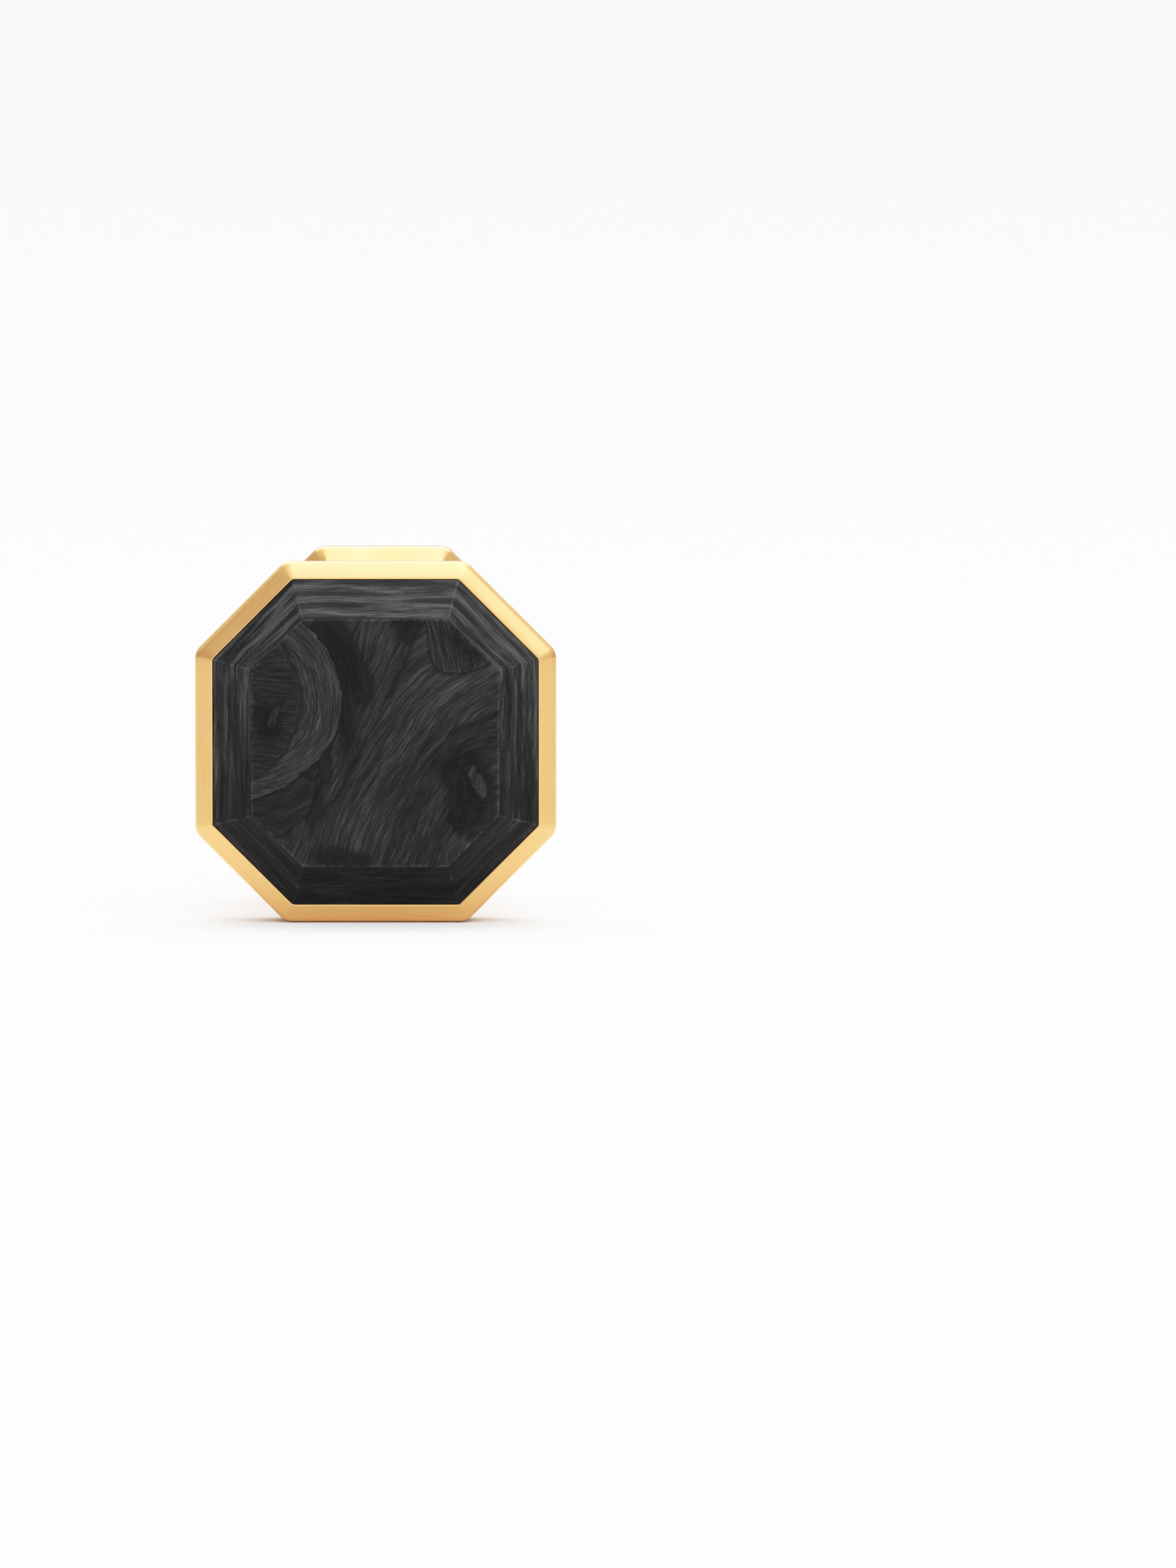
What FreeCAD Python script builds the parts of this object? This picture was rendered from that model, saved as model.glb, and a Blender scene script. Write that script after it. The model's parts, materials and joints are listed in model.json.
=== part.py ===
import FreeCAD, Part
import math
import os

# A cufflink: an octagonal case with a faceted forged-carbon inlay, a forked post and a sprung swivel toggle.
# Millimetres. It stands on the case's lower flat and the toggle's lower end.
# +Z is up and the face looks along -Y.
# The origin is under the middle of the part, on the surface it stands on.

# Case frame, seen from the front as a square with cut corners.
FACE_WIDTH = 18.0
CORNER_CUT = 4.5
CORNER_RADIUS = 0.5
RIM_WIDTH = 0.88
RIM_RISE = 0.3
RIM_RADIUS = 0.36
FRAME_DEPTH = 3.2
FRAME_BACK_RADIUS = 0.2
OPENING_RADIUS = 0.25
SEAT_DEPTH = 1.9
SEAT_WIDTH = 0.9

# Forged-carbon inlay: a straight girdle, eight bevel facets and a flat table.
TABLE_WIDTH = 12.2
TABLE_CUT = 2.5
CROWN_HEIGHT = 0.85
GIRDLE_DROP = 0.05
INLAY_GAP = 0.04
FILM_THICKNESS = 0.1

# Back plate, soldered on behind the frame, with a step that fits inside the seat.
PLATE_INSET = 0.4
PLATE_THICKNESS = 0.9
PLATE_EDGE_RADIUS = 0.25
STEP_HEIGHT = 0.5
STEP_GAP = 0.05

# Post: a flared foot with a tenon through the back plate, a solid root and a fork with two cheeks.
POST_HEIGHT = 3.8
POST_EDGE_RADIUS = 0.25
CHEEK_THICKNESS = 0.95
FORK_GAP = 2.5
FORK_ROOT = 2.6
FOOT_MARGIN = 0.5
FOOT_FLARE = 1.1
FOOT_THICKNESS = 0.9
FOOT_CUT_SHARE = 0.25
TENON_RADIUS = 1.1
FIT_GAP = 0.01
PAD_LENGTH = 2.7
PAD_TOP = 0.6

# Leaf spring in the fork, riveted to the pad and bearing on the knuckle's lower flat.
SPRING_THICKNESS = 0.35
SPRING_SIDE_GAP = 0.1
SPRING_ROOT_GAP = 0.1
SPRING_TOUCH_GAP = 0.02
SPRING_SINK = 0.03
SPRING_BEND_RADIUS = 2.5
SPRING_BEND_LEAD = 0.4
SPRING_TIP_REACH = 1.3
SPRING_FLAT_REACH = 1.6
RIVET_SHANK_RADIUS = 0.45
RIVET_HEAD_RADIUS = 0.8
RIVET_HEAD_HEIGHT = 0.32
RIVET_HEAD_EDGE = 0.08

# Hinge: rivet across the fork, and the toggle's knuckle on it.
PIN_RADIUS = 0.6
PIN_HEAD_RADIUS = 0.98
PIN_HEAD_HEIGHT = 0.28
PIN_HEAD_EDGE = 0.08
BORE_GAP = 0.03
KNUCKLE_RADIUS = 1.1
KNUCKLE_SIDE_GAP = 0.05

# Toggle: a hollow bar with cut corners, bevelled on both sides and closed by an inner plate.
# Folded, it lies along the post with a gap to the cheeks and a gap to the case.
TOGGLE_WIDTH = 9.6
TOGGLE_CUT = 1.5
TOGGLE_THICKNESS = 3.4
CHEEK_SWING_GAP = 0.4
CASE_SWING_GAP = 1.8
INNER_BEVEL_WIDTH = 1.0
INNER_BEVEL_DEPTH = 1.0
OUTER_BEVEL_WIDTH = 1.4
OUTER_BEVEL_DEPTH = 0.9
TOGGLE_EDGE_RADIUS = 0.25
TOGGLE_WALL = 0.6
TOGGLE_LEDGE = 0.35
TOGGLE_FLOOR = 0.9
TOGGLE_PLATE_THICKNESS = 0.7
TOGGLE_PLATE_GAP = 0.02

# Two points closer than this are one point.
SAME_POINT = 0.0001

# The toggle is as long as the face is high, so both stand on one level.
TOGGLE_LENGTH = FACE_WIDTH
AXIS_Z = FACE_WIDTH / 2
EYE_RADIUS = POST_HEIGHT / 2
PIVOT_OFFSET = EYE_RADIUS + CHEEK_SWING_GAP
GRIP_LENGTH = PIVOT_OFFSET + TOGGLE_LENGTH / 2 + CASE_SWING_GAP
POST_WIDTH = FORK_GAP + 2 * CHEEK_THICKNESS
FOOT_TOP_WIDTH = POST_WIDTH + 2 * FOOT_MARGIN
FOOT_WIDTH = FOOT_TOP_WIDTH + 2 * FOOT_FLARE
KNUCKLE_HALF = EYE_RADIUS - SPRING_THICKNESS - SPRING_TOUCH_GAP - SPRING_SINK
KNUCKLE_WIDTH = FORK_GAP - 2 * KNUCKLE_SIDE_GAP
SPRING_WIDTH = FORK_GAP - 2 * SPRING_SIDE_GAP

# Depths along Y, front to back.
OVERALL_DEPTH = CROWN_HEIGHT + FRAME_DEPTH + PLATE_THICKNESS + GRIP_LENGTH + TOGGLE_THICKNESS
TABLE_Y = -OVERALL_DEPTH / 2
LIP_Y = TABLE_Y + CROWN_HEIGHT
SEAT_Y = LIP_Y + SEAT_DEPTH
FRAME_BACK_Y = LIP_Y + FRAME_DEPTH
CUFF_Y = FRAME_BACK_Y + PLATE_THICKNESS
FOOT_TOP_Y = CUFF_Y + FOOT_THICKNESS
FORK_ROOT_Y = CUFF_Y + FORK_ROOT
PAD_END_Y = FORK_ROOT_Y + PAD_LENGTH
GRIP_Y = CUFF_Y + GRIP_LENGTH
PIVOT_Y = GRIP_Y - PIVOT_OFFSET
TOGGLE_BACK_Y = GRIP_Y + TOGGLE_THICKNESS

# Heights of the spring's pad and of the spring's upper side at its tip.
PAD_Z = AXIS_Z - EYE_RADIUS + PAD_TOP
SPRING_TIP_Z = AXIS_Z - KNUCKLE_HALF - SPRING_TOUCH_GAP

DIAGONAL_SHARE = math.sqrt(2)
INSET_CUT_SHARE = 2 - DIAGONAL_SHARE


class Octagon:
    """A rectangle in the XZ plane with its corners cut at 45 degrees, centred on the post's axis."""

    def __init__(self, width, height, cut):
        self.width = width
        self.height = height
        self.cut = cut

    def inset(self, by):
        """The outline that lies inside this one by the same distance all round."""
        return Octagon(self.width - 2 * by, self.height - 2 * by, self.cut - by * INSET_CUT_SHARE)

    def across_corners(self):
        """The distance between two opposite cut corners."""
        return (self.width / 2 + self.height / 2 - self.cut) * DIAGONAL_SHARE

    def points(self):
        """The eight corners as X and Z from the centre, in order."""
        x = self.width / 2
        z = self.height / 2
        c = self.cut
        return [(x - c, -z), (x, -z + c), (x, z - c), (x - c, z),
                (-x + c, z), (-x, z - c), (-x, -z + c), (-x + c, -z)]

    def wire(self, y):
        """The outline with sharp corners at one depth."""
        corners = [FreeCAD.Vector(x, y, AXIS_Z + z) for x, z in self.points()]
        return Part.makePolygon(corners + corners[:1])

    def prism(self, y_front, y_back, radius=0):
        """A straight block of this outline, with its upright corners rounded."""
        flat = rounded_face([(x, z, radius) for x, z in self.points()],
                            lambda x, z: FreeCAD.Vector(x, y_front, AXIS_Z + z))
        return flat.extrude(FreeCAD.Vector(0, y_back - y_front, 0))


def rounded_face(corners, place):
    """A flat face from corners given as two coordinates and a radius, set in space by the place function."""
    edges = []
    starts = []
    ends = []
    for i, (a, b, radius) in enumerate(corners):
        here = FreeCAD.Vector(a, b, 0)
        before = FreeCAD.Vector(*corners[i - 1][:2], 0)
        after = FreeCAD.Vector(*corners[(i + 1) % len(corners)][:2], 0)
        if radius == 0:
            starts.append(here)
            ends.append(here)
            edges.append(None)
            continue
        to_before = (before - here).normalize()
        to_after = (after - here).normalize()
        half = to_before.getAngle(to_after) / 2
        reach = radius / math.tan(half)
        middle = here + (to_before + to_after).normalize() * (radius / math.sin(half) - radius)
        starts.append(here + to_before * reach)
        ends.append(here + to_after * reach)
        edges.append(middle)
    outline = []
    for i, middle in enumerate(edges):
        if middle is not None:
            bend = Part.Arc(place(*starts[i][:2]), place(*middle[:2]), place(*ends[i][:2]))
            outline.append(bend.toShape())
        following = starts[(i + 1) % len(starts)]
        if (following - ends[i]).Length > SAME_POINT:
            outline.append(Part.makeLine(place(*ends[i][:2]), place(*following[:2])))
    return Part.Face(Part.Wire(outline))


def mitred_block(octagon, section):
    """The solid that four long bars share, one for each two opposite sides. Section draws a bar's end."""
    bars = []
    reach = octagon.width + octagon.height
    diagonal = octagon.across_corners()
    spans = [(octagon.width, 0), (diagonal, 45), (octagon.height, 90), (diagonal, 135)]
    for span, angle in spans:
        end = rounded_face(section(span / 2), lambda u, y: FreeCAD.Vector(u, y, AXIS_Z - reach))
        bar = end.extrude(FreeCAD.Vector(0, 0, 2 * reach))
        bar.rotate(FreeCAD.Vector(0, 0, AXIS_Z), FreeCAD.Vector(0, 1, 0), angle)
        bars.append(bar)
    solid = bars[0]
    for bar in bars[1:]:
        solid = solid.common(bar)
    return solid.Solids[0]


def box(x0, x1, y0, y1, z0, z1):
    """A block between two corners."""
    return Part.makeBox(x1 - x0, y1 - y0, z1 - z0, FreeCAD.Vector(x0, y0, z0))


def side_block(corners, width):
    """A block of one width across X, from its outline in Y and Z above the axis."""
    flat = rounded_face(corners, lambda y, z: FreeCAD.Vector(-width / 2, y, AXIS_Z + z))
    return flat.extrude(FreeCAD.Vector(width, 0, 0))


def pivot_cylinder(radius, width):
    """A round bar on the hinge axis, centred across the fork."""
    start = FreeCAD.Vector(-width / 2, PIVOT_Y, AXIS_Z)
    return Part.makeCylinder(radius, width, start, FreeCAD.Vector(1, 0, 0))


FACE = Octagon(FACE_WIDTH, FACE_WIDTH, CORNER_CUT)
OPENING = FACE.inset(RIM_WIDTH)
SEAT = OPENING.inset(SEAT_WIDTH)
GIRDLE = OPENING.inset(INLAY_GAP)
TABLE = Octagon(TABLE_WIDTH, TABLE_WIDTH, TABLE_CUT)
TOGGLE = Octagon(TOGGLE_WIDTH, TOGGLE_LENGTH, TOGGLE_CUT)
TOGGLE_OPENING = TOGGLE.inset(INNER_BEVEL_WIDTH + TOGGLE_WALL)


def case_frame():
    """The ring with a sloping satin band, a rounded outer edge, straight walls and a seat for the inlay."""
    def section(half):
        rim = [(-half, LIP_Y + RIM_RISE, RIM_RADIUS), (-half + RIM_WIDTH, LIP_Y, 0),
               (half - RIM_WIDTH, LIP_Y, 0), (half, LIP_Y + RIM_RISE, RIM_RADIUS)]
        back = [(half, FRAME_BACK_Y, FRAME_BACK_RADIUS), (-half, FRAME_BACK_Y, FRAME_BACK_RADIUS)]
        return rim + back
    block = mitred_block(FACE, section)
    upright = [e for e in block.Edges if e.BoundBox.YLength > FRAME_DEPTH / 2]
    block = block.makeFillet(CORNER_RADIUS, upright)
    pocket = OPENING.prism(LIP_Y, SEAT_Y, OPENING_RADIUS)
    hollow = SEAT.prism(LIP_Y, FRAME_BACK_Y, OPENING_RADIUS)
    return block.cut(pocket).cut(hollow)


def carbon_inlay():
    """The inlay with its straight girdle, bevel facets and table."""
    girdle_y = LIP_Y + GIRDLE_DROP
    bottom_y = SEAT_Y - FILM_THICKNESS
    crown = Part.makeLoft([GIRDLE.wire(girdle_y), TABLE.wire(TABLE_Y)], True, True)
    girdle = GIRDLE.prism(girdle_y, bottom_y)
    whole = crown.fuse(girdle).removeSplitter()
    return whole.common(GIRDLE.prism(TABLE_Y, bottom_y, OPENING_RADIUS))


def inlay_film():
    """The thin ring of adhesive between the seat and the inlay."""
    ring = GIRDLE.prism(SEAT_Y - FILM_THICKNESS, SEAT_Y, OPENING_RADIUS)
    return ring.cut(SEAT.prism(LIP_Y, FRAME_BACK_Y, OPENING_RADIUS))


def back_plate():
    """The plate behind the frame, with its locating step and the hole for the post's tenon."""
    outline = FACE.inset(PLATE_INSET)

    def section(half):
        return [(-half, FRAME_BACK_Y, 0), (half, FRAME_BACK_Y, 0),
                (half, CUFF_Y, PLATE_EDGE_RADIUS), (-half, CUFF_Y, PLATE_EDGE_RADIUS)]
    plate = mitred_block(outline, section)
    upright = [e for e in plate.Edges if e.BoundBox.YLength > PLATE_THICKNESS / 2]
    plate = plate.makeFillet(CORNER_RADIUS, upright)
    step = SEAT.inset(STEP_GAP).prism(FRAME_BACK_Y - STEP_HEIGHT, FRAME_BACK_Y, OPENING_RADIUS)
    depth = PLATE_THICKNESS + STEP_HEIGHT
    hole = Part.makeCylinder(TENON_RADIUS + FIT_GAP, depth,
                             FreeCAD.Vector(0, CUFF_Y - depth, AXIS_Z), FreeCAD.Vector(0, 1, 0))
    return plate.fuse(step).removeSplitter().cut(hole)


def post():
    """The post: foot, tenon, solid root and the two cheeks with their rounded eyes and the spring's pad."""
    half = POST_HEIGHT / 2
    end_y = PIVOT_Y + EYE_RADIUS
    body = side_block([(CUFF_Y, -half, 0), (end_y, -half, EYE_RADIUS),
                       (end_y, half, EYE_RADIUS), (CUFF_Y, half, 0)], POST_WIDTH)
    rims = [e for e in body.Edges if e.BoundBox.XLength < FIT_GAP and e.BoundBox.YMax > CUFF_Y + FIT_GAP]
    body = body.makeFillet(POST_EDGE_RADIUS, rims)
    foot_low = Octagon(FOOT_WIDTH, FOOT_WIDTH, FOOT_WIDTH * FOOT_CUT_SHARE)
    foot_top = Octagon(FOOT_TOP_WIDTH, FOOT_TOP_WIDTH, FOOT_TOP_WIDTH * FOOT_CUT_SHARE)
    foot = Part.makeLoft([foot_low.wire(CUFF_Y), foot_top.wire(FOOT_TOP_Y)], True, True)
    depth = PLATE_THICKNESS + STEP_HEIGHT
    tenon = Part.makeCylinder(TENON_RADIUS, depth + FOOT_THICKNESS,
                              FreeCAD.Vector(0, CUFF_Y - depth, AXIS_Z), FreeCAD.Vector(0, 1, 0))
    whole = body.fuse([foot, tenon]).removeSplitter()
    slot_half = FORK_GAP / 2
    upper = box(-slot_half, slot_half, FORK_ROOT_Y, end_y, PAD_Z, AXIS_Z + half)
    lower = box(-slot_half, slot_half, PAD_END_Y, end_y, AXIS_Z - half, PAD_Z)
    whole = whole.cut(upper).cut(lower)
    whole = whole.cut(pivot_cylinder(PIN_RADIUS + FIT_GAP, POST_WIDTH))
    return whole.cut(rivet_shank(RIVET_SHANK_RADIUS + FIT_GAP))


def rivet_y():
    """The spring rivet's place along the pad."""
    return FORK_ROOT_Y + SPRING_ROOT_GAP + (PAD_LENGTH - SPRING_ROOT_GAP) / 2


def rivet_shank(radius):
    """A round bar through the pad and the spring's root."""
    return Part.makeCylinder(radius, PAD_TOP + SPRING_THICKNESS,
                             FreeCAD.Vector(0, rivet_y(), AXIS_Z - EYE_RADIUS), FreeCAD.Vector(0, 0, 1))


def leaf_spring():
    """The strip: flat on its pad, then bent down to lie under the knuckle."""
    root_z = PAD_Z - AXIS_Z
    tip_z = SPRING_TIP_Z - SPRING_THICKNESS - AXIS_Z
    start_y = FORK_ROOT_Y + SPRING_ROOT_GAP
    bend_y = PAD_END_Y + SPRING_BEND_LEAD
    flat_y = PIVOT_Y - SPRING_FLAT_REACH
    tip_y = PIVOT_Y + SPRING_TIP_REACH
    inner = SPRING_BEND_RADIUS
    outer = SPRING_BEND_RADIUS + SPRING_THICKNESS
    lower = [(start_y, root_z, 0), (bend_y, root_z, inner), (flat_y, tip_z, outer), (tip_y, tip_z, 0)]
    upper = [(tip_y, tip_z + SPRING_THICKNESS, 0), (flat_y, tip_z + SPRING_THICKNESS, inner),
             (bend_y, root_z + SPRING_THICKNESS, outer), (start_y, root_z + SPRING_THICKNESS, 0)]
    return side_block(lower + upper, SPRING_WIDTH).cut(rivet_shank(RIVET_SHANK_RADIUS + FIT_GAP))


def spring_rivet():
    """The rivet that holds the spring's root down on its pad, with a low domed head."""
    head_z = PAD_Z + SPRING_THICKNESS
    return rivet_shank(RIVET_SHANK_RADIUS).fuse(
        domed_head(RIVET_HEAD_RADIUS, RIVET_HEAD_HEIGHT, RIVET_HEAD_EDGE,
                   FreeCAD.Vector(0, rivet_y(), head_z), FreeCAD.Vector(0, 0, 1))).removeSplitter()


def domed_head(radius, height, edge, foot, along):
    """A low dome with a short straight edge, standing on a point along a direction."""
    rim = Part.makeLine(FreeCAD.Vector(radius, 0, 0), FreeCAD.Vector(radius, 0, edge))
    rise = height - edge
    sphere = (radius * radius + rise * rise) / (2 * rise)
    lean = math.asin(radius / sphere) / 2
    middle = FreeCAD.Vector(sphere * math.sin(lean), 0, height - sphere + sphere * math.cos(lean))
    top = FreeCAD.Vector(0, 0, height)
    dome = Part.Arc(FreeCAD.Vector(radius, 0, edge), middle, top).toShape()
    axis = Part.makeLine(top, FreeCAD.Vector(0, 0, 0))
    base = Part.makeLine(FreeCAD.Vector(0, 0, 0), FreeCAD.Vector(radius, 0, 0))
    half = Part.Face(Part.Wire([rim, dome, axis, base]))
    head = half.revolve(FreeCAD.Vector(0, 0, 0), FreeCAD.Vector(0, 0, 1), 360)
    head.Placement = FreeCAD.Placement(foot, FreeCAD.Rotation(FreeCAD.Vector(0, 0, 1), along))
    return head


def hinge_rivet():
    """The rivet across the fork, with a domed head on each cheek."""
    whole = pivot_cylinder(PIN_RADIUS, POST_WIDTH)
    for side in (-1, 1):
        foot = FreeCAD.Vector(side * POST_WIDTH / 2, PIVOT_Y, AXIS_Z)
        outward = FreeCAD.Vector(side, 0, 0)
        whole = whole.fuse(domed_head(PIN_HEAD_RADIUS, PIN_HEAD_HEIGHT, PIN_HEAD_EDGE, foot, outward))
    return whole.removeSplitter()


def toggle_knuckle():
    """The cam on the hinge rivet: flats with rounded corners, and a neck let into the inner plate."""
    half = KNUCKLE_HALF
    front_y = PIVOT_Y - half
    tail_y = GRIP_Y + TOGGLE_PLATE_THICKNESS
    cam = side_block([(front_y, -half, KNUCKLE_RADIUS), (tail_y, -half, 0), (tail_y, half, 0),
                      (front_y, half, KNUCKLE_RADIUS)], KNUCKLE_WIDTH)
    return cam.cut(pivot_cylinder(PIN_RADIUS + BORE_GAP, POST_WIDTH))


def toggle_plate():
    """The plate that closes the toggle's shell on its inner side, with the slot for the knuckle's neck."""
    back_y = GRIP_Y + TOGGLE_PLATE_THICKNESS
    plate = TOGGLE_OPENING.inset(TOGGLE_PLATE_GAP).prism(GRIP_Y, back_y)
    half_width = KNUCKLE_WIDTH / 2 + FIT_GAP
    half_height = KNUCKLE_HALF + FIT_GAP
    slot = box(-half_width, half_width, GRIP_Y, back_y, AXIS_Z - half_height, AXIS_Z + half_height)
    return plate.cut(slot)


def toggle_shell():
    """The hollow bar: bevelled inner and outer sides, and a ledge that the inner plate sits on."""
    def section(half):
        r = TOGGLE_EDGE_RADIUS
        inner_y = GRIP_Y + INNER_BEVEL_DEPTH
        outer_y = TOGGLE_BACK_Y - OUTER_BEVEL_DEPTH
        inner_half = half - INNER_BEVEL_WIDTH
        outer_half = half - OUTER_BEVEL_WIDTH
        inner = [(-half, inner_y, r), (-inner_half, GRIP_Y, 0), (inner_half, GRIP_Y, 0), (half, inner_y, r)]
        outer = [(half, outer_y, r), (outer_half, TOGGLE_BACK_Y, r),
                 (-outer_half, TOGGLE_BACK_Y, r), (-half, outer_y, r)]
        return inner + outer
    block = mitred_block(TOGGLE, section)
    recess = TOGGLE_OPENING.prism(GRIP_Y, GRIP_Y + TOGGLE_PLATE_THICKNESS)
    hollow = TOGGLE_OPENING.inset(TOGGLE_LEDGE).prism(GRIP_Y, TOGGLE_BACK_Y - TOGGLE_FLOOR)
    return block.cut(recess).cut(hollow)


PIECES = [case_frame, carbon_inlay, inlay_film, back_plate, post, leaf_spring, spring_rivet, hinge_rivet,
          toggle_shell, toggle_plate, toggle_knuckle]

os.makedirs("parts", exist_ok=True)
for piece in PIECES:
    piece().exportStep("parts/" + piece.__name__ + ".step")
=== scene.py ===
"""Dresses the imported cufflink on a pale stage: its case, forged-carbon inlay, post, hinge and toggle."""

import json
import logging
import math
from dataclasses import dataclass, replace
from enum import Enum
from typing import Any, Callable, ClassVar, Iterable, Mapping, Optional, Sequence, Union

import bmesh
import bpy
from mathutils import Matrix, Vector


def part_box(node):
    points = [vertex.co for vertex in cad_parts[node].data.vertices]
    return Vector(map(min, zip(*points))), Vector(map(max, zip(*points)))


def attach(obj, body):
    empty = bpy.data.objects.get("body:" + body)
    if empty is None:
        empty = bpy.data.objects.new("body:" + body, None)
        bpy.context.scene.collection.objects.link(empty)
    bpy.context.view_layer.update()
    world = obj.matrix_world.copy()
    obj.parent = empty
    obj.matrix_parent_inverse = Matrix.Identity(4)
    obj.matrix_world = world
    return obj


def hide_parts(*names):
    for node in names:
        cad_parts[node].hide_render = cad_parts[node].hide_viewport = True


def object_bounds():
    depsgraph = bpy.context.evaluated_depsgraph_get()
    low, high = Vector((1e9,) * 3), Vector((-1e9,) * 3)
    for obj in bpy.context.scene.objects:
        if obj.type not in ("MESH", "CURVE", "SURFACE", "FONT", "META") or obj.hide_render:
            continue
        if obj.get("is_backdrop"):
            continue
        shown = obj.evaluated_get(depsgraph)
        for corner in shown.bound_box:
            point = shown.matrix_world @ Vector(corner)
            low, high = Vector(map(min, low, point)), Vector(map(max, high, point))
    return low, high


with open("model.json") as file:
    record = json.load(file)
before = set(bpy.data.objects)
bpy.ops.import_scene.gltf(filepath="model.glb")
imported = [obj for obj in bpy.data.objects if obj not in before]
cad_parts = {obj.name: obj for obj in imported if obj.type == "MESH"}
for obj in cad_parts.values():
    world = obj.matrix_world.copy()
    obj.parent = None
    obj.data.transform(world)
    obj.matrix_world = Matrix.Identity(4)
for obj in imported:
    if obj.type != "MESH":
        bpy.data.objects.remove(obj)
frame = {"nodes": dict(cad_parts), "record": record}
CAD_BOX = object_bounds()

LOG = logging.getLogger("cufflink")
METRES_PER_MM = 0.001
# Lengths are millimetres. Those that are read from the frame keep this many decimals.
DECIMALS = 4
DIAGONAL = math.sqrt(2.0)
QUARTER_TURN = math.pi / 2.0

Span = tuple[float, float]
Triple = tuple[float, float, float]
Socket = bpy.types.NodeSocket
Piece = bpy.types.Object


class Body(Enum):
    """The two CAD bodies that pieces ride on."""

    FACE = "face"
    TOGGLE = "toggle"


class Slot(Enum):
    """The record's material slots, one passed with each new piece."""

    CASE_GOLD = "case_gold"
    FITTING_GOLD = "fitting_gold"
    FORGED_CARBON = "forged_carbon"
    SPRING_STEEL = "spring_steel"


class Mixed(Enum):
    """What a Mix node mixes."""

    COLOURS = "RGBA"
    VECTORS = "VECTOR"


class Part(Enum):
    """What is picked on an open piece."""

    EDGES = "EDGE"
    FACES = "FACE"


class Combined(Enum):
    """How a second shape changes the first."""

    JOINED = "UNION"
    CUT = "DIFFERENCE"


class Axis(Enum):
    """The ways that a bar lies: its direction, and the turn that lays an upright bar along it."""

    X = ((1.0, 0.0, 0.0), (0.0, QUARTER_TURN, 0.0))
    Y = ((0.0, 1.0, 0.0), (QUARTER_TURN, 0.0, 0.0))
    Z = ((0.0, 0.0, 1.0), (0.0, 0.0, 0.0))


# Places from the frame


def millimetres(place: Iterable[float]) -> Triple:
    """A place in metres as millimetres, without the last digits of a mesh's short floats."""
    return tuple(round(part / METRES_PER_MM, DECIMALS) for part in place)


@dataclass(frozen=True)
class Extent:
    """The box of a CAD node at rest, in millimetres."""

    low: Triple
    high: Triple

    def _size(self, axis: int) -> float:
        """Its size along one axis."""
        return round(self.high[axis] - self.low[axis], DECIMALS)

    @property
    def width(self) -> float:
        """Its size along X."""
        return self._size(0)

    @property
    def depth(self) -> float:
        """Its size along Y."""
        return self._size(1)

    @property
    def height(self) -> float:
        """Its size along Z."""
        return self._size(2)

    @property
    def front(self) -> float:
        """Where it starts along Y."""
        return self.low[1]

    @property
    def back(self) -> float:
        """Where it ends along Y."""
        return self.high[1]


NODES = {name: Extent(*map(millimetres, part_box(name))) for name in frame["nodes"]}
# The hinge's place along the post, and the height of the post's axis above the standing surface.
_, HINGE_Y, AXIS_Z = millimetres(frame["record"]["behaviour"]["joints"][0]["pos_m"])


@dataclass(frozen=True)
class Face:
    """The octagons of the face, which the case is built on and its finishes follow."""

    width: float = NODES["case_frame"].width
    corner_cut: float = 4.5
    rim_width: float = 0.91
    inlay_gap: float = 0.015
    table_width: float = 12.2
    table_cut: float = 2.5
    table_depth: float = NODES["carbon_inlay"].front

    # The share of an inset that half a side of the octagon loses.
    SIDE_LOSS: ClassVar[float] = DIAGONAL - 1.0

    @property
    def half_width(self) -> float:
        """The distance from the middle to the straight sides."""
        return self.width / 2.0

    @property
    def half_diagonal(self) -> float:
        """The distance from the middle to the cut corners."""
        return (self.width - self.corner_cut) / DIAGONAL

    @property
    def girdle_inset(self) -> float:
        """How far the inlay's edge lies inside the case's outline."""
        return self.rim_width + self.inlay_gap

    @property
    def girdle_half(self) -> float:
        """The distance from the middle to the inlay's straight sides."""
        return self.half_width - self.girdle_inset

    @property
    def girdle_side(self) -> float:
        """Half the length of the inlay's straight sides."""
        return self.half_width - self.corner_cut - self.girdle_inset * self.SIDE_LOSS

    @property
    def table_half(self) -> float:
        """The distance from the middle to the table's straight sides."""
        return self.table_width / 2.0

    @property
    def table_side(self) -> float:
        """Half the length of the table's straight sides."""
        return self.table_half - self.table_cut


FACE = Face()


# Shader graphs


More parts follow.
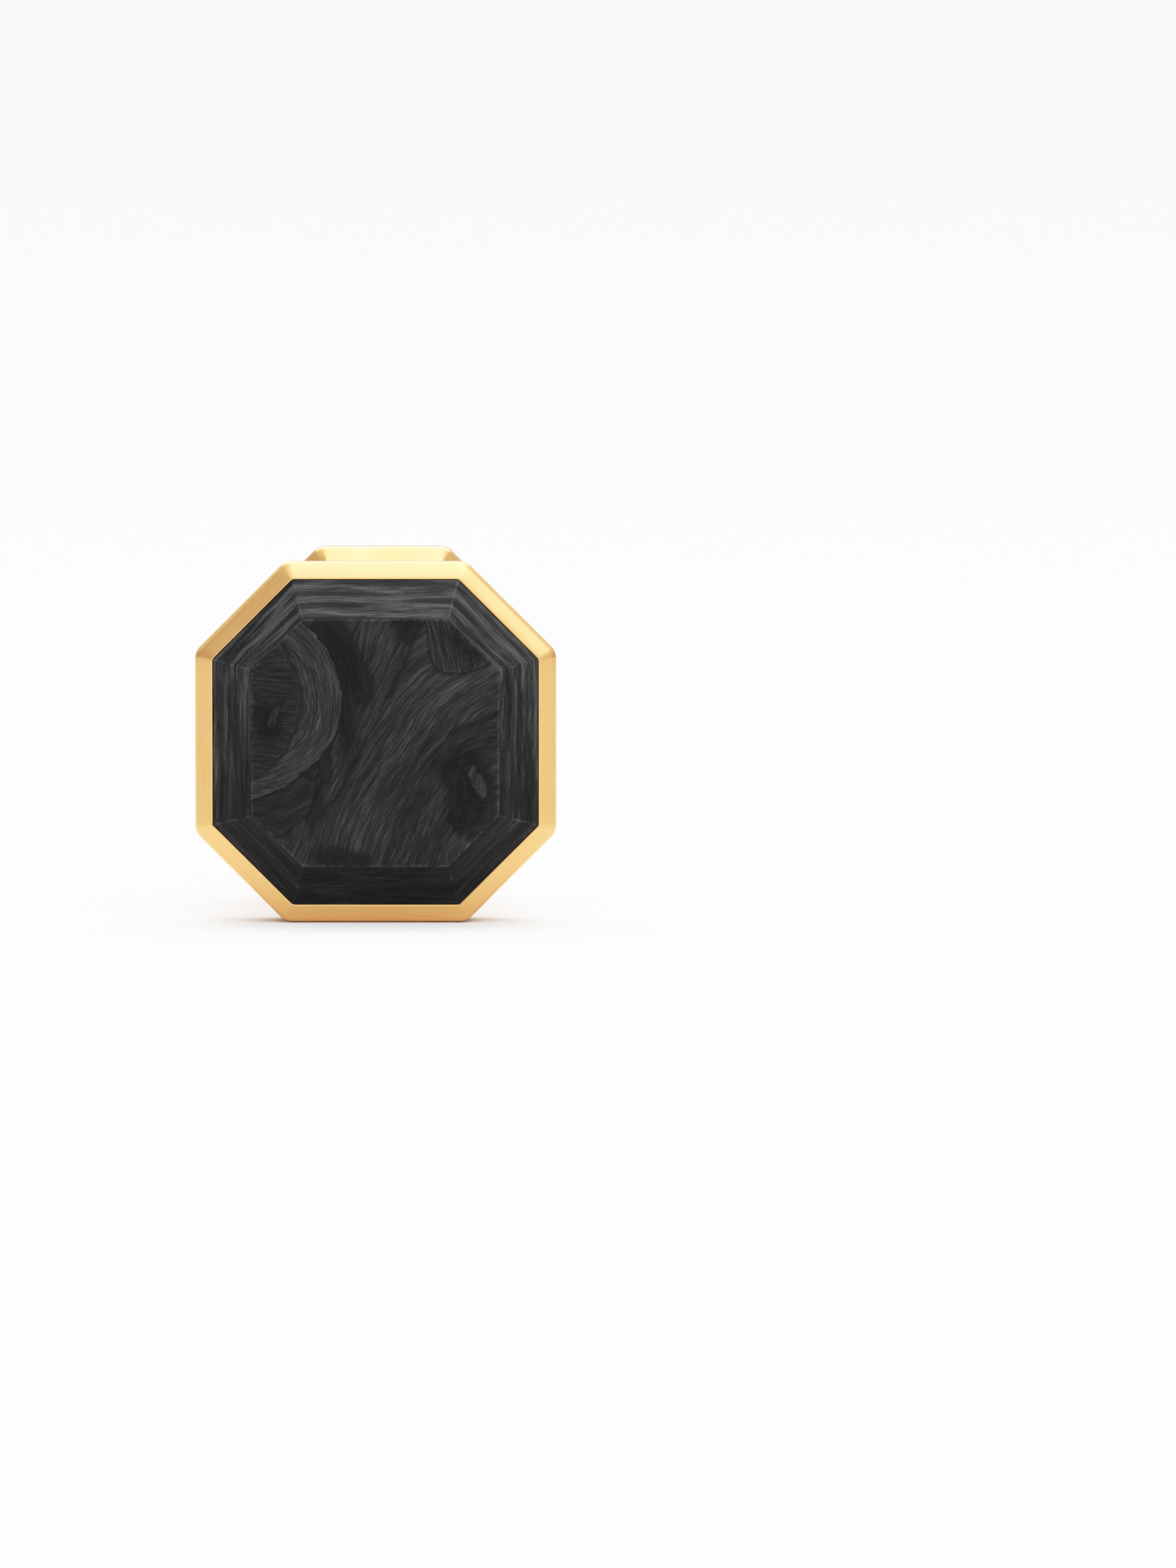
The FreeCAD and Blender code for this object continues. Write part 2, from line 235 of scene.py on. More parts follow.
class Value:
    """One number of a shader graph. An expression on values and plain numbers adds its Math nodes."""

    def __init__(self, graph: "Graph", socket: Socket) -> None:
        """Wraps a socket of a graph."""
        self.graph = graph
        self.socket = socket

    def __add__(self, other: "Term") -> "Value":
        """This value plus another."""
        return self.graph.math("ADD", self, other)

    __radd__ = __add__

    def __sub__(self, other: "Term") -> "Value":
        """This value less another."""
        return self.graph.math("SUBTRACT", self, other)

    def __rsub__(self, other: "Term") -> "Value":
        """Another value less this one."""
        return self.graph.math("SUBTRACT", other, self)

    def __mul__(self, other: "Term") -> "Value":
        """This value times another."""
        return self.graph.math("MULTIPLY", self, other)

    __rmul__ = __mul__

    def __abs__(self) -> "Value":
        """This value without its sign."""
        return self.graph.math("ABSOLUTE", self)

    def power(self, exponent: float) -> "Value":
        """This value to a power."""
        return self.graph.math("POWER", self, exponent)

    def most(self, other: "Term") -> "Value":
        """The larger of two values."""
        return self.graph.math("MAXIMUM", self, other)

    def least(self, other: "Term") -> "Value":
        """The smaller of two values."""
        return self.graph.math("MINIMUM", self, other)

    def step(self, low: float, high: float) -> "Value":
        """A smooth rise from 0 to 1, or a fall where low is above high.

        Args:
            low: where it is 0.
            high: where it is 1.

        Returns:
            The rise or fall.
        """
        limits = {"Value": self, "From Min": min(low, high), "From Max": max(low, high)}
        node = self.graph.node("ShaderNodeMapRange", {"interpolation_type": "SMOOTHSTEP"}, limits)
        rise = Value(self.graph, node.outputs["Result"])
        return rise if low <= high else 1.0 - rise


Term = Union[Value, int, float]


class Graph:
    """The nodes of one material or world, written as expressions."""

    def __init__(self, tree: bpy.types.NodeTree) -> None:
        """Empties a node tree and takes it over."""
        self.tree = tree
        tree.nodes.clear()

    def node(self, kind: str, settings: Optional[Mapping[str, Any]] = None,
             inputs: Optional[Mapping[Union[str, int], Any]] = None) -> bpy.types.Node:
        """Adds any node.

        Args:
            kind: the node's type.
            settings: its properties, set before the sockets; a ramp's stops go under "stops".
            inputs: values, Value objects or sockets by the input's name or number.

        Returns:
            The new node.
        """
        made = self.tree.nodes.new(kind)
        for name, setting in (settings or {}).items():
            if name == "stops":
                self._set_stops(made.color_ramp, setting)
            else:
                setattr(made, name, setting)
        for key, term in (inputs or {}).items():
            self.feed(made.inputs[key], term)
        return made

    def feed(self, target: Socket, term: Any) -> None:
        """Links a socket, or sets it.

        Args:
            target: the input socket.
            term: a Value or socket to link, or a plain number, colour or vector to set.
        """
        if isinstance(term, Value):
            term = term.socket
        if isinstance(term, Socket):
            self.tree.links.new(term, target)
        else:
            target.default_value = term

    @staticmethod
    def _set_stops(ramp: bpy.types.ColorRamp, stops: Sequence[tuple[float, Triple]]) -> None:
        """Gives a ramp its stops.

        Args:
            ramp: the ramp, with the two stops that it starts with.
            stops: places from 0 to 1 and their colours.
        """
        while len(ramp.elements) < len(stops):
            ramp.elements.new(1.0)
        for element, (place, colour) in zip(ramp.elements, stops):
            element.position = place
            element.color = (*colour, 1.0)

    def math(self, operation: str, *terms: Term) -> Value:
        """One Math node on values and numbers."""
        node = self.node("ShaderNodeMath", {"operation": operation}, dict(enumerate(terms)))
        return Value(self, node.outputs[0])

    def vector_math(self, operation: str, *terms: Any) -> Socket:
        """One Vector Math node on vectors."""
        node = self.node("ShaderNodeVectorMath", {"operation": operation}, dict(enumerate(terms)))
        return node.outputs["Vector"]

    def place(self) -> Socket:
        """The shaded point on the piece.

        Returns:
            Its place in millimetres from the middle of the face, with Z up.
        """
        coords = self.node("ShaderNodeTexCoord").outputs["Object"]
        scaled = self.vector_math("MULTIPLY", coords, (1.0 / METRES_PER_MM,) * 3)
        return self.vector_math("SUBTRACT", scaled, (0.0, 0.0, AXIS_Z))

    def parts(self, vector: Socket) -> tuple[Value, Value, Value]:
        """A vector's X, Y and Z."""
        split = self.node("ShaderNodeSeparateXYZ", None, {0: vector})
        return tuple(Value(self, out) for out in split.outputs[:3])

    def vector(self, x: Term, y: Term, z: Term = 0.0) -> Socket:
        """A vector from three values."""
        return self.node("ShaderNodeCombineXYZ", None, {0: x, 1: y, 2: z}).outputs[0]

    def stretch(self, vector: Socket, scale: Triple, turn: Triple = (0.0, 0.0, 0.0)) -> Socket:
        """A vector turned and scaled by a Mapping node."""
        inputs = {"Vector": vector, "Rotation": turn, "Scale": scale}
        return self.node("ShaderNodeMapping", {"vector_type": "POINT"}, inputs).outputs[0]

    def noise(self, vector: Socket, scale: float = 1.0, detail: float = 2.0,
              roughness: float = 0.5) -> Value:
        """Smooth noise between 0 and 1."""
        inputs = {"Vector": vector, "Scale": scale, "Detail": detail, "Roughness": roughness}
        return Value(self, self.node("ShaderNodeTexNoise", None, inputs).outputs[0])

    def wander(self, vector: Socket, point: Socket, scale: float, reach: float,
               detail: float = 1.0) -> Socket:
        """A vector pushed about by noise.

        Args:
            vector: the vector.
            point: where the noise is read.
            scale: the noise's scale.
            reach: how far the noise pushes.
            detail: the noise's detail.

        Returns:
            The moved vector.
        """
        inputs = {"Vector": point, "Scale": scale, "Detail": detail}
        colour = self.node("ShaderNodeTexNoise", None, inputs).outputs["Color"]
        about_zero = self.vector_math("SUBTRACT", colour, (0.5,) * 3)
        return self.vector_math("MULTIPLY_ADD", about_zero, (reach,) * 3, vector)

    def mix(self, share: Value, first: Any, second: Any, mixed: Mixed = Mixed.COLOURS) -> Socket:
        """Two colours or vectors mixed by a share.

        Args:
            share: 0 for the first, 1 for the second.
            first: a colour, vector or socket.
            second: the same for the other end.
            mixed: whether they are colours or vectors.

        Returns:
            The mixed socket.
        """
        node = self.node("ShaderNodeMix", {"data_type": mixed.value})
        targets = [socket for socket in node.inputs if socket.enabled]
        for target, term in zip(targets, (share, first, second)):
            self.feed(target, (*term, 1.0) if isinstance(term, tuple) else term)
        return next(socket for socket in node.outputs if socket.enabled)

    def blend(self, share: Value, first: Value, second: Value) -> Value:
        """Two numbers mixed by a share."""
        return first + (second - first) * share

    def bump(self, height: Value, depth: float, strength: float) -> Socket:
        """A normal raised by a height of a given depth."""
        inputs = {"Height": height, "Distance": depth * METRES_PER_MM, "Strength": strength}
        return self.node("ShaderNodeBump", None, inputs).outputs[0]

    def surface(self, inputs: Mapping[str, Any]) -> None:
        """Ends a material with a Principled shader."""
        shader = self.node("ShaderNodeBsdfPrincipled", None, inputs)
        self.node("ShaderNodeOutputMaterial", None, {"Surface": shader.outputs[0]})


# Finishes


class Finish:
    """A finish that makes its material once and hands it out again."""

    name: ClassVar[str] = ""
    made: ClassVar[dict[str, bpy.types.Material]] = {}

    def material(self) -> bpy.types.Material:
        """The finish's material, made at its first use.

        Returns:
            The material.
        """
        if self.name not in self.made:
            paint = bpy.data.materials.new(self.name)
            paint.use_nodes = True
            self.paint(Graph(paint.node_tree))
            self.made[self.name] = paint
        return self.made[self.name]

    def paint(self, graph: Graph) -> None:
        """Builds the finish's nodes."""
        raise NotImplementedError


@dataclass(frozen=True)
class PolishedGold(Finish):
    """Bright gold plate with faint clouding and hairline polishing marks."""

    name: ClassVar[str] = "polished_gold"
    deep: Triple = (0.75, 0.395, 0.142)
    pale: Triple = (0.80, 0.440, 0.182)
    cloud_scale: float = 0.35
    cloud_span: Span = (0.3, 0.7)
    haze_scale: float = 2.2
    mark_stretch: Triple = (1.2, 24.0, 1.2)
    mark_turn: Triple = (0.5, 0.0, 0.7)
    mark_depth: float = 0.004
    mark_strength: float = 0.12
    hairline_span: Span = (0.62, 0.72)
    roughness: float = 0.10
    haze_roughness: float = 0.08
    hairline_roughness: float = 0.06

    def paint(self, graph: Graph) -> None:
        """Builds the finish's nodes.

        Args:
            graph: the material's nodes.
        """
        point = graph.place()
        cloud = graph.noise(point, self.cloud_scale, detail=3.0)
        haze = graph.noise(point, self.haze_scale, detail=4.0, roughness=0.6)
        strokes = graph.stretch(point, self.mark_stretch, self.mark_turn)
        marks = graph.noise(strokes, detail=3.0, roughness=0.7)
        hairline = marks.step(*self.hairline_span)
        graph.surface({
            "Base Color": graph.mix(cloud.step(*self.cloud_span), self.deep, self.pale),
            "Metallic": 1.0,
            "Roughness": haze * self.haze_roughness + hairline * self.hairline_roughness + self.roughness,
            "Normal": graph.bump(marks, self.mark_depth, self.mark_strength),
        })


@dataclass(frozen=True)
class SatinGold(Finish):
    """Gold brushed along the sides of the octagon, with a fine grain."""

    name: ClassVar[str] = "satin_gold"
    deep: Triple = (0.75, 0.395, 0.140)
    pale: Triple = (0.82, 0.448, 0.188)
    face: Face = FACE
    strokes_across: float = 9.0
    strokes_around: float = 5.0
    grain_scale: float = 16.0
    cloud_scale: float = 0.5
    stroke_tone: float = 0.45
    grain_tone: float = 0.35
    cloud_tone: float = 0.2
    tone_span: Span = (0.3, 0.7)
    roughness: float = 0.24
    grain_roughness: float = 0.16
    stroke_roughness: float = 0.08
    grain_height: float = 0.6
    stroke_height: float = 0.4
    relief_depth: float = 0.012
    relief_strength: float = 0.34

    def paint(self, graph: Graph) -> None:
        """Builds the finish's nodes.

        Args:
            graph: the material's nodes.
        """
        point = graph.place()
        x, _, z = graph.parts(point)
        straight = abs(x).most(abs(z)) - self.face.half_width
        slanted = (abs(x) + abs(z)) * (1.0 / DIAGONAL) - self.face.half_diagonal
        across = straight.most(slanted) * self.strokes_across
        around = graph.math("ARCTAN2", z, x) * self.strokes_around
        strokes = graph.noise(graph.vector(across, around), detail=3.0, roughness=0.65)
        grain = graph.noise(point, self.grain_scale, roughness=0.7)
        cloud = graph.noise(point, self.cloud_scale)
        tone = strokes * self.stroke_tone + grain * self.grain_tone + cloud * self.cloud_tone
        relief = grain * self.grain_height + strokes * self.stroke_height
        graph.surface({
            "Base Color": graph.mix(tone.step(*self.tone_span), self.deep, self.pale),
            "Metallic": 1.0,
            "Roughness": grain * self.grain_roughness + strokes * self.stroke_roughness + self.roughness,
            "Normal": graph.bump(relief, self.relief_depth, self.relief_strength),
        })


@dataclass(frozen=True)
class Fold:
    """One lobe of folded fibre in the carbon's table: a rounded patch, its tone and its fibres.

    Places are millimetres right of and above the middle of the table, and turns are degrees. The fibres
    curl round the hub, or run straight at the lay where there is no hub.
    """

    centre: Span
    reach: Span
    turn: float
    tone: float
    edge: float = 0.16
    hub: Optional[Span] = None
    lay: float = 0.0
    square: float = 2.0
    # Painted shadow just outside the patch's edge; a share of it is a painted highlight just inside.
    shadow: float = 0.50

    LEAST_BOW: ClassVar[float] = 0.75
    EDGE_SHARE: ClassVar[float] = 0.6
    RIM_LEAST: ClassVar[float] = 0.1
    RIM_SHARE: ClassVar[float] = 2.0

    @property
    def bow(self) -> float:
        """The usual radius of the fibres that curl round the hub."""
        away = math.hypot(self.centre[0] - self.hub[0], self.centre[1] - self.hub[1])
        return max(away, self.LEAST_BOW * max(self.reach))

    @property
    def edge_span(self) -> Span:
        """How far outside and inside its line the patch fades out and in."""
        return self.EDGE_SHARE * self.edge, -self.EDGE_SHARE * self.edge

    @property
    def rim_span(self) -> Span:
        """How far from the patch's line its rim fades out and is whole."""
        return self.RIM_LEAST + self.RIM_SHARE * self.edge, 0.0


@dataclass(frozen=True)
class ForgedCarbon(Finish):
    """Chopped carbon fibre pressed in resin: swirled folds on the table, thin strata on the bevels."""

    name: ClassVar[str] = "carbon_swirl"
    ramp: tuple[tuple[float, Triple], ...] = (
        (0.0, (0.0006, 0.0006, 0.0007)),
        (0.2, (0.0022, 0.0022, 0.0023)),
        (0.5, (0.0125, 0.0126, 0.0128)),
        (1.0, (0.060, 0.0604, 0.0612)),
    )
    face: Face = FACE
    bevel_start: Span = (0.012, 0.05)

    # The fibres: their scale across and along, the bundles that they lie in, and how they shade the tone.
    hairs: float = 46.0
    breaks: float = 0.9
    bundle_stretch: Triple = (0.174, 0.36, 0.36)
    hair_span: Span = (0.30, 0.70)
    bundle_span: Span = (0.28, 0.74)
    hair_share: float = 0.62
    bundle_share: float = 0.38
    fibre_base: float = 0.53
    fibre_gain: float = 0.85
    table_contrast: float = 0.38
    bevel_contrast: float = 0.18
    fibre_depth: float = 0.012
    fibre_strength: float = 0.30
    roughness: float = 0.44
    fibre_polish: float = 0.10
    specular: float = 0.12

    # Grit: fine flecks all over.
    grit_scale: float = 10.0
    grit_span: Span = (0.30, 0.70)
    table_grit: float = 0.08
    bevel_grit: float = 0.12

    # The folds: how far fibres sway and ripple, how edges tear and fray, the tone between the folds, and
    # the painted highlight just inside their edges.
    sway: Span = (0.26, 0.7)
    ripple: Span = (1.3, 0.05)
    tear: Span = (0.8, 0.55)
    tear_detail: float = 3.0
    fray: float = 3.6
    loose_stretch: Triple = (0.095, 0.58, 1.0)
    drift_stretch: Triple = (0.0196, 0.133, 1.0)
    drift_span: Span = (0.2, 0.8)
    drift_gain: float = 0.26
    painted_rim_highlight: float = 0.16
    base_hub: Span = (14.0, -9.8)
    base_tone: float = 0.50
    folds: tuple[Fold, ...] = (
        Fold((-5.2, -3.1), (2.3, 1.5), 30.0, 0.36, 0.10, hub=(-6.4, 1.5)),
        Fold((0.15, 4.7), (1.35, 3.4), -22.0, 0.52, 0.12, lay=74.0),
        Fold((-0.3, 2.5), (0.72, 6.0), -23.0, 0.48, 0.10, lay=67.0, shadow=0.30),
        Fold((-1.65, 4.3), (0.80, 2.2), 26.0, 0.20, 0.13, hub=(-7.4, 1.6)),
        Fold((-1.40, 1.9), (0.40, 2.5), 3.0, 0.22, 0.18, hub=(-7.4, 1.6), shadow=0.20),
        Fold((-9.1, 2.2), (7.5, 5.5), 0.0, 0.56, 0.06, hub=(-6.6, 2.2)),
        Fold((-8.75, 2.2), (5.0, 4.7), 0.0, 0.38, 0.08, lay=-6.0),
        Fold((-5.35, 1.1), (0.45, 0.60), 20.0, 0.12, 0.18, hub=(-5.7, 1.1)),
        Fold((-4.95, 1.25), (0.20, 0.55), -15.0, 0.40, 0.14, hub=(-5.9, 1.1)),
        Fold((1.6, 5.7), (0.45, 0.60), 0.0, 0.20, 0.20, lay=60.0),
        Fold((4.15, 5.2), (1.5, 1.66), 8.0, 0.46, 0.05, lay=102.0, square=4.0),
        Fold((4.9, 5.5), (0.7, 1.0), 15.0, 0.28, 0.22, lay=60.0),
        Fold((5.4, 0.0), (2.1, 0.9), 25.0, 0.38, 0.26, hub=(6.6, -3.2)),
        Fold((4.7, -2.6), (1.0, 1.8), 10.0, 0.34, 0.22, hub=(5.6, -2.0)),
        Fold((4.2, -2.15), (0.38, 0.85), 10.0, 0.14, 0.14, hub=(5.6, -2.0)),
        Fold((4.5, -3.6), (0.60, 0.42), 20.0, 0.16, 0.16, lay=70.0),
        Fold((5.05, -1.9), (0.34, 0.9), 15.0, 0.50, 0.10, lay=75.0),
        Fold((-2.55, -1.2), (0.24, 0.6), -10.0, 0.24, 0.08, lay=100.0),
        Fold((-1.7, -5.75), (0.9, 0.30), -8.0, 0.24, 0.14, lay=20.0),
    )

    # The strata: layers across the depth, wavy along the side, with painted light: lighter and stronger
    # towards the top, darker towards the bottom.
    wave_scale: float = 0.35
    wave_height: float = 0.12
    layers: float = 8.5
    layer_run: float = 0.14
    layer_shift: float = 2.0
    layer_span: Span = (0.25, 0.75)
    layer_tone: float = 0.26
    layer_gain: float = 0.38
    # Painted light from above: the layers' strength and the strata's tone grow with height by these.
    layer_gain_painted_rise: float = 0.018
    light: float = 1.04
    painted_light_rise: float = 0.031
    strata: float = 44.0
    strata_run: float = 0.80

    # The broken lighter line along the ridges and round the table.
    ridge_span: Span = (0.07, 0.01)
    table_rim_span: Span = (0.07, 0.0)
    ridge_break_scale: float = 3.0
    ridge_break_span: Span = (0.35, 0.7)
    ridge_line_gain: float = 0.42

    def paint(self, graph: Graph) -> None:
        """Builds the finish's nodes.

        Args:
            graph: the material's nodes.
        """
        point = graph.place()
        _, y, _ = graph.parts(point)
        bevel = (y - self.face.table_depth).step(*self.bevel_start)
        flow, tone = self._table(graph, point)
        strata, layer = self._strata(graph, point)
        lines = graph.mix(bevel, flow, strata, Mixed.VECTORS)
        bundles = graph.stretch(lines, self.bundle_stretch)
        hair = graph.noise(lines, detail=3.0, roughness=0.62).step(*self.hair_span)
        bundle = graph.noise(bundles, roughness=0.6).step(*self.bundle_span)
        fibre = hair * self.hair_share + bundle * self.bundle_share
        grit = graph.noise(point, self.grit_scale, detail=3.0, roughness=0.7).step(*self.grit_span) - 0.5
        tone = graph.blend(bevel, tone, layer)
        contrast = bevel * (self.bevel_contrast - self.table_contrast) + self.table_contrast
        shade = tone * (fibre * self.fibre_gain + self.fibre_base) + (fibre - 0.5) * contrast
        # A broken lighter line along the ridges and round the table.
        shade = shade + self._ridge_line(graph, point, bevel) * self.ridge_line_gain
        shade = shade + grit * (bevel * (self.bevel_grit - self.table_grit) + self.table_grit)
        colour = graph.node("ShaderNodeValToRGB", {"stops": self.ramp}, {"Fac": shade}).outputs["Color"]
        graph.surface({
            "Base Color": colour,
            "Roughness": self.roughness - fibre * self.fibre_polish,
            "Specular IOR Level": self.specular,
            "Normal": graph.bump(fibre, self.fibre_depth, self.fibre_strength),
        })

    def _table(self, graph: Graph, point: Socket) -> tuple[Socket, Value]:
        """The table's fibre coordinates and tone, fold upon fold.

        Args:
            graph: the material's nodes.
            point: the shaded point in millimetres.

        Returns:
            The coordinates across and along the fibres, and the tone.
        """
        bent = graph.wander(point, point, *self.sway)
        bent = graph.wander(bent, point, *self.ripple)
        ragged = graph.wander(point, point, *self.tear, self.tear_detail)
        x, _, z = graph.parts(bent)
        whole = Fold((0.0, 0.0), (self.face.table_half,) * 2, 0.0, self.base_tone, hub=self.base_hub)
        flow = self._fibres(graph, whole, x, z)
        drift = graph.noise(graph.stretch(flow, self.drift_stretch)).step(*self.drift_span)
        loose = graph.noise(graph.stretch(flow, self.loose_stretch)) - 0.5
        tone = drift * self.drift_gain + (self.base_tone - self.drift_gain / 2.0)
        for fold in self.folds:
            mask, rim = self._patch(graph, ragged, fold, loose)
            flow = graph.mix(mask, flow, self._fibres(graph, fold, x, z), Mixed.VECTORS)
            # Painted shade just outside each fold's edge, and a painted highlight just inside it.
            outside = tone * (1.0 - rim * fold.shadow)
            inside = rim * (self.painted_rim_highlight * fold.shadow) + fold.tone
            tone = graph.blend(mask, outside, inside)
        return flow, tone

    def _patch(self, graph: Graph, point: Socket, fold: Fold, loose: Value) -> tuple[Value, Value]:
        """Where a fold lies.

        Args:
            graph: the material's nodes.
            point: the shaded point with ragged edges.
            fold: the fold.
            loose: noise about zero that runs with the fibres, which frays a soft edge into strands.

        Returns:
            The fold's mask and a soft line along its edge, where painted shade and a painted highlight lie.
        """
        x, _, z = graph.parts(point)
        cosine, sine = math.cos(math.radians(fold.turn)), math.sin(math.radians(fold.turn))
        right, up = x - fold.centre[0], z - fold.centre[1]
        first = abs((right * cosine + up * sine) * (1.0 / fold.reach[0]))
        second = abs((up * cosine - right * sine) * (1.0 / fold.reach[1]))
        reach = (first.power(fold.square) + second.power(fold.square)).power(1.0 / fold.square)
        gap = (reach - 1.0) * min(fold.reach) + loose * (fold.edge * self.fray)
        return gap.step(*fold.edge_span), abs(gap).step(*fold.rim_span)

    def _fibres(self, graph: Graph, fold: Fold, x: Value, z: Value) -> Socket:
        """Coordinates across and along a fold's fibres.

        Args:
            graph: the material's nodes.
            fold: the fold.
            x: the swayed point's place to the right.
            z: the swayed point's place upwards.

        Returns:
            The coordinates.
        """
        if fold.hub is not None:
            right, up = x - fold.hub[0], z - fold.hub[1]
            radius = graph.math("SQRT", right * right + up * up)
            turn = graph.math("ARCTAN2", up, right)
            return graph.vector(radius * self.hairs, turn * (fold.bow * self.breaks))
        cosine, sine = math.cos(math.radians(fold.lay)), math.sin(math.radians(fold.lay))
        return graph.vector((z * cosine - x * sine) * self.hairs, (x * cosine + z * sine) * self.breaks)

    def _strata(self, graph: Graph, point: Socket) -> tuple[Socket, Value]:
        """The bevels' strata.

        Args:
            graph: the material's nodes.
            point: the shaded point in millimetres.

        Returns:
            Coordinates that change fast with depth and slowly along the side, and a tone with painted
            light, lighter towards the top and darker towards the bottom.
        """
        x, y, z = graph.parts(point)
        level = y + graph.noise(point, self.wave_scale) * self.wave_height
        run = graph.vector(level * self.layers, x * self.layer_run + self.layer_shift, z * self.layer_run)
        # Painted light: the layers stand out more towards the top.
        gain = z * self.layer_gain_painted_rise + self.layer_gain
        tone = graph.noise(run).step(*self.layer_span) * gain + self.layer_tone
        lines = graph.vector(level * self.strata, x * self.strata_run, z * self.strata_run)
        # Painted light: the tone is lighter towards the top and darker towards the bottom.
        return lines, tone * (z * self.painted_light_rise + self.light)

    def _ridge_line(self, graph: Graph, point: Socket, bevel: Value) -> Value:
        """A broken light line along the ridges between the facets and round the table.

        Args:
            graph: the material's nodes.
            point: the shaded point in millimetres.
            bevel: 0 on the table and 1 on the bevels.

        Returns:
            The line's strength.
        """
        x, _, z = graph.parts(point)
        far, near = abs(x).most(abs(z)), abs(x).least(abs(z))
        half, side = self.face.table_half, self.face.table_side
        run, rise = self.face.girdle_half - half, self.face.girdle_side - side
        length = math.hypot(run, rise)
        ridge = (near - side) * (run / length) - (far - half) * (rise / length)
        line = abs(ridge).step(*self.ridge_span) * bevel
        slanted = (abs(x) + abs(z) - (half + side)) * (1.0 / DIAGONAL)
        border = (far - half).most(slanted)
        rim = abs(border).step(*self.table_rim_span)
        return line.most(rim) * graph.noise(point, self.ridge_break_scale, detail=3.0).step(*self.ridge_break_span)


@dataclass(frozen=True)
class SpringSteel(Finish):
    """Bright rolled strip with fine lines along its length."""

    name: ClassVar[str] = "rolled_steel"
    dark: Triple = (0.42, 0.42, 0.43)
    light: Triple = (0.66, 0.66, 0.67)
    line_stretch: Triple = (22.0, 0.6, 22.0)
    line_tone: float = 0.7
    line_depth: float = 0.006
    line_strength: float = 0.25
    cloud_scale: float = 1.1
    cloud_tone: float = 0.3
    roughness: float = 0.20
    line_roughness: float = 0.14

    def paint(self, graph: Graph) -> None:
        """Builds the finish's nodes.

        Args:
            graph: the material's nodes.
        """
        point = graph.place()
        lines = graph.noise(graph.stretch(point, self.line_stretch), detail=3.0, roughness=0.6)
        cloud = graph.noise(point, self.cloud_scale)
        tone = lines * self.line_tone + cloud * self.cloud_tone
        graph.surface({
            "Base Color": graph.mix(tone, self.dark, self.light),
            "Metallic": 1.0,
            "Roughness": lines * self.line_roughness + self.roughness,
            "Normal": graph.bump(lines, self.line_depth, self.line_strength),
        })


@dataclass(frozen=True)
class DarkAdhesive(Finish):
    """Dark set adhesive with small bubbles."""

    name: ClassVar[str] = "dark_adhesive"
    deep: Triple = (0.012, 0.011, 0.010)
    pale: Triple = (0.045, 0.042, 0.038)
    cloud_scale: float = 1.4
    cloud_tone: float = 0.7
    bubble_scale: float = 5.0
    bubble_span: Span = (0.22, 0.10)
    bubble_tone: float = 0.3
    bubble_depth: float = 0.01
    bubble_strength: float = 0.3
    roughness: float = 0.18
    cloud_roughness: float = 0.15

    def paint(self, graph: Graph) -> None:
        """Builds the finish's nodes.

        Args:
            graph: the material's nodes.
        """
        point = graph.place()
        cloud = graph.noise(point, self.cloud_scale, detail=3.0)
        cells = graph.node("ShaderNodeTexVoronoi", None, {"Vector": point, "Scale": self.bubble_scale})
        bubbles = Value(graph, cells.outputs["Distance"]).step(*self.bubble_span)
        tone = cloud * self.cloud_tone + bubbles * self.bubble_tone
        graph.surface({
            "Base Color": graph.mix(tone, self.deep, self.pale),
            "Roughness": cloud * self.cloud_roughness + self.roughness,
            "Normal": graph.bump(bubbles, self.bubble_depth, self.bubble_strength),
        })


POLISHED_GOLD = PolishedGold()
SATIN_GOLD = SatinGold()
FORGED_CARBON = ForgedCarbon()
SPRING_STEEL = SpringSteel()
DARK_ADHESIVE = DarkAdhesive()


# The work bench


